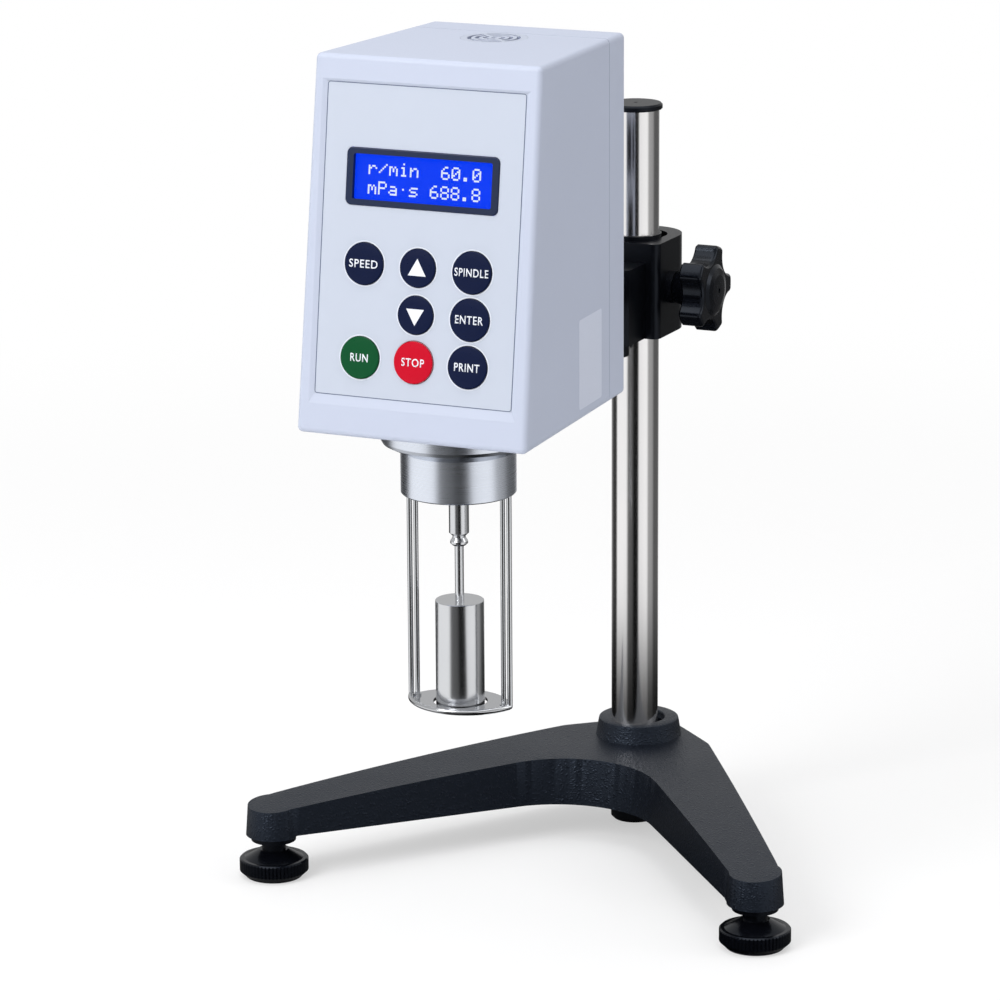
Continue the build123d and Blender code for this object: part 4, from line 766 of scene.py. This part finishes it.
rays = floor_paint.node("LightPath")
camera_ray = rays.other("Is Camera Ray")
glossy_ray = rays.other("Is Glossy Ray")
cloud = floor_paint.noise(3.0)
floor_paint.set("Base Color", floor_paint.shade(cloud, srgb(250, 250, 250), srgb(248, 248, 249)))
painted = Wire(floor_paint, floor_paint.shader.outputs[0])
glow = floor_paint.node("Emission", None, {"Color": (1.0, 1.0, 1.0), "Strength": 1.0})
melt = by_distance(WHITE_FROM, WHITE_BY, NEAR_WHITE, 1.0) * camera_ray
whitened = floor_paint.node("MixShader", None, {0: melt, 1: painted, 2: glow})
print("floor", 2 * FLOOR_SIZE, "metres wide")

# %% [markdown]
# Polished metal shows whatever stands round it. Dark cloths on a studio floor draw the
# long bands that make a tube look round, and this floor has them for glossy rays alone: it
# is painted in wedges round the column, black towards the camera and light beside it. Each
# pair is a direction in degrees, with nought towards the camera, and a brightness. The
# lightest wedges are a little over white. Close to the column all of them fade to near
# black: painted shade for the shadowed floor under the base, as no lamp's shadow reaches them.

# %% Bands that polished metal sees
BANDS_FROM, BANDS_BY, NEAR_BANDS = 0.2, 0.5, 0.08
WEDGES = (
    (-180, 0.25), (-146, 0.30), (-136, 0.05), (-106, 0.05), (-98, 1.15), (-44, 1.15), (-36, 0.16),
    (-14, 0.10), (-8, 0.005), (12, 0.005), (17, 1.05), (58, 1.15), (66, 0.45), (92, 0.36), (102, 0.12),
    (146, 0.12), (158, 0.5), (180, 0.30),
)
east = floor_paint.node("SeparateXYZ", None, {"Vector": spot}, "X")
north = east.other("Y")
toward = east * math.sin(CAMERA_AZIMUTH) + north * -math.cos(CAMERA_AZIMUTH)
across = east * math.cos(CAMERA_AZIMUTH) + north * math.sin(CAMERA_AZIMUTH)
turn = floor_paint.node("Math", {"operation": "ARCTAN2"}, {0: across, 1: toward})
dial = turn * (0.5 / math.pi) + 0.5
stops = [((angle + 180) / 360, (v, v, v)) for angle, v in WEDGES]
bands = floor_paint.node("ValToRGB", {"stops": stops}, {"Fac": dial}, "Color")
# Painted shade: the bands darken under and around the base, where the floor would lie in shadow.
shade_near_base = by_distance(BANDS_FROM, BANDS_BY, NEAR_BANDS, 1.0)
faded = floor_paint.shade(shade_near_base, (0.0, 0.0, 0.0), bands)
flags = floor_paint.node("Emission", None, {"Color": faded, "Strength": 1.0})
flagged = floor_paint.node("MixShader", None, {0: glossy_ray, 1: whitened, 2: flags})
surface = floor_paint.tree.nodes["Material Output"].inputs["Surface"]
floor_paint.tree.links.new(flagged.socket, surface)
floor_data.materials.append(floor_paint.material)
print("bands", len(WEDGES))

# %% [markdown]
# The sky fills the shadows. It is white at half strength for the light on the instrument,
# a little brighter for what metal mirrors, and full white for the camera, so that low
# views have a white background above the floor as well.

# %% World
SKY_FILL, SKY_MIRRORED, SKY_SEEN = 0.5, 0.62, 1.0
world = bpy.data.worlds.new("studio")
bpy.context.scene.world = world
world.use_nodes = True
links = world.node_tree.links
sky = world.node_tree.nodes["Background"]
sky.inputs["Color"].default_value = (1.0, 1.0, 1.0, 1.0)
path = world.node_tree.nodes.new("ShaderNodeLightPath")
level = world.node_tree.nodes.new("ShaderNodeMapRange")
level.inputs["To Min"].default_value = SKY_FILL
level.inputs["To Max"].default_value = SKY_MIRRORED
links.new(path.outputs["Is Glossy Ray"], level.inputs["Value"])
whole = world.node_tree.nodes.new("ShaderNodeMapRange")
whole.inputs["To Max"].default_value = SKY_SEEN
links.new(path.outputs["Is Camera Ray"], whole.inputs["Value"])
links.new(level.outputs["Result"], whole.inputs["To Min"])
links.new(whole.outputs["Result"], sky.inputs["Strength"])
print("sky", SKY_FILL, SKY_MIRRORED, SKY_SEEN)

# %% [markdown]
# Three softboxes light the instrument: a key in front on its left, a wide one overhead,
# and a narrow one behind on the right that draws the edge. Each is turned at the middle of
# the instrument, so only its place and size have to be chosen.

# %% Lamps
CENTRE = (0.0, -0.12, 0.25)


def softbox(name, place, width, height, power):
    lamp = bpy.data.lights.new(name, "AREA")
    lamp.shape = "RECTANGLE"
    lamp.size, lamp.size_y, lamp.energy = width, height, power
    holder = bpy.data.objects.new(name, lamp)
    holder.location = place
    holder.rotation_euler = (Vector(CENTRE) - Vector(place)).to_track_quat("-Z", "Y").to_euler()
    bpy.context.scene.collection.objects.link(holder)
    print(name, power, "watts")


softbox("key", (-0.7, -2.0, 1.6), 1.2, 1.2, 34.0)
softbox("top", (0.0, -0.3, 2.2), 2.2, 2.2, 23.5)
softbox("rim", (1.8, 0.5, 1.2), 0.7, 1.4, 5.0)
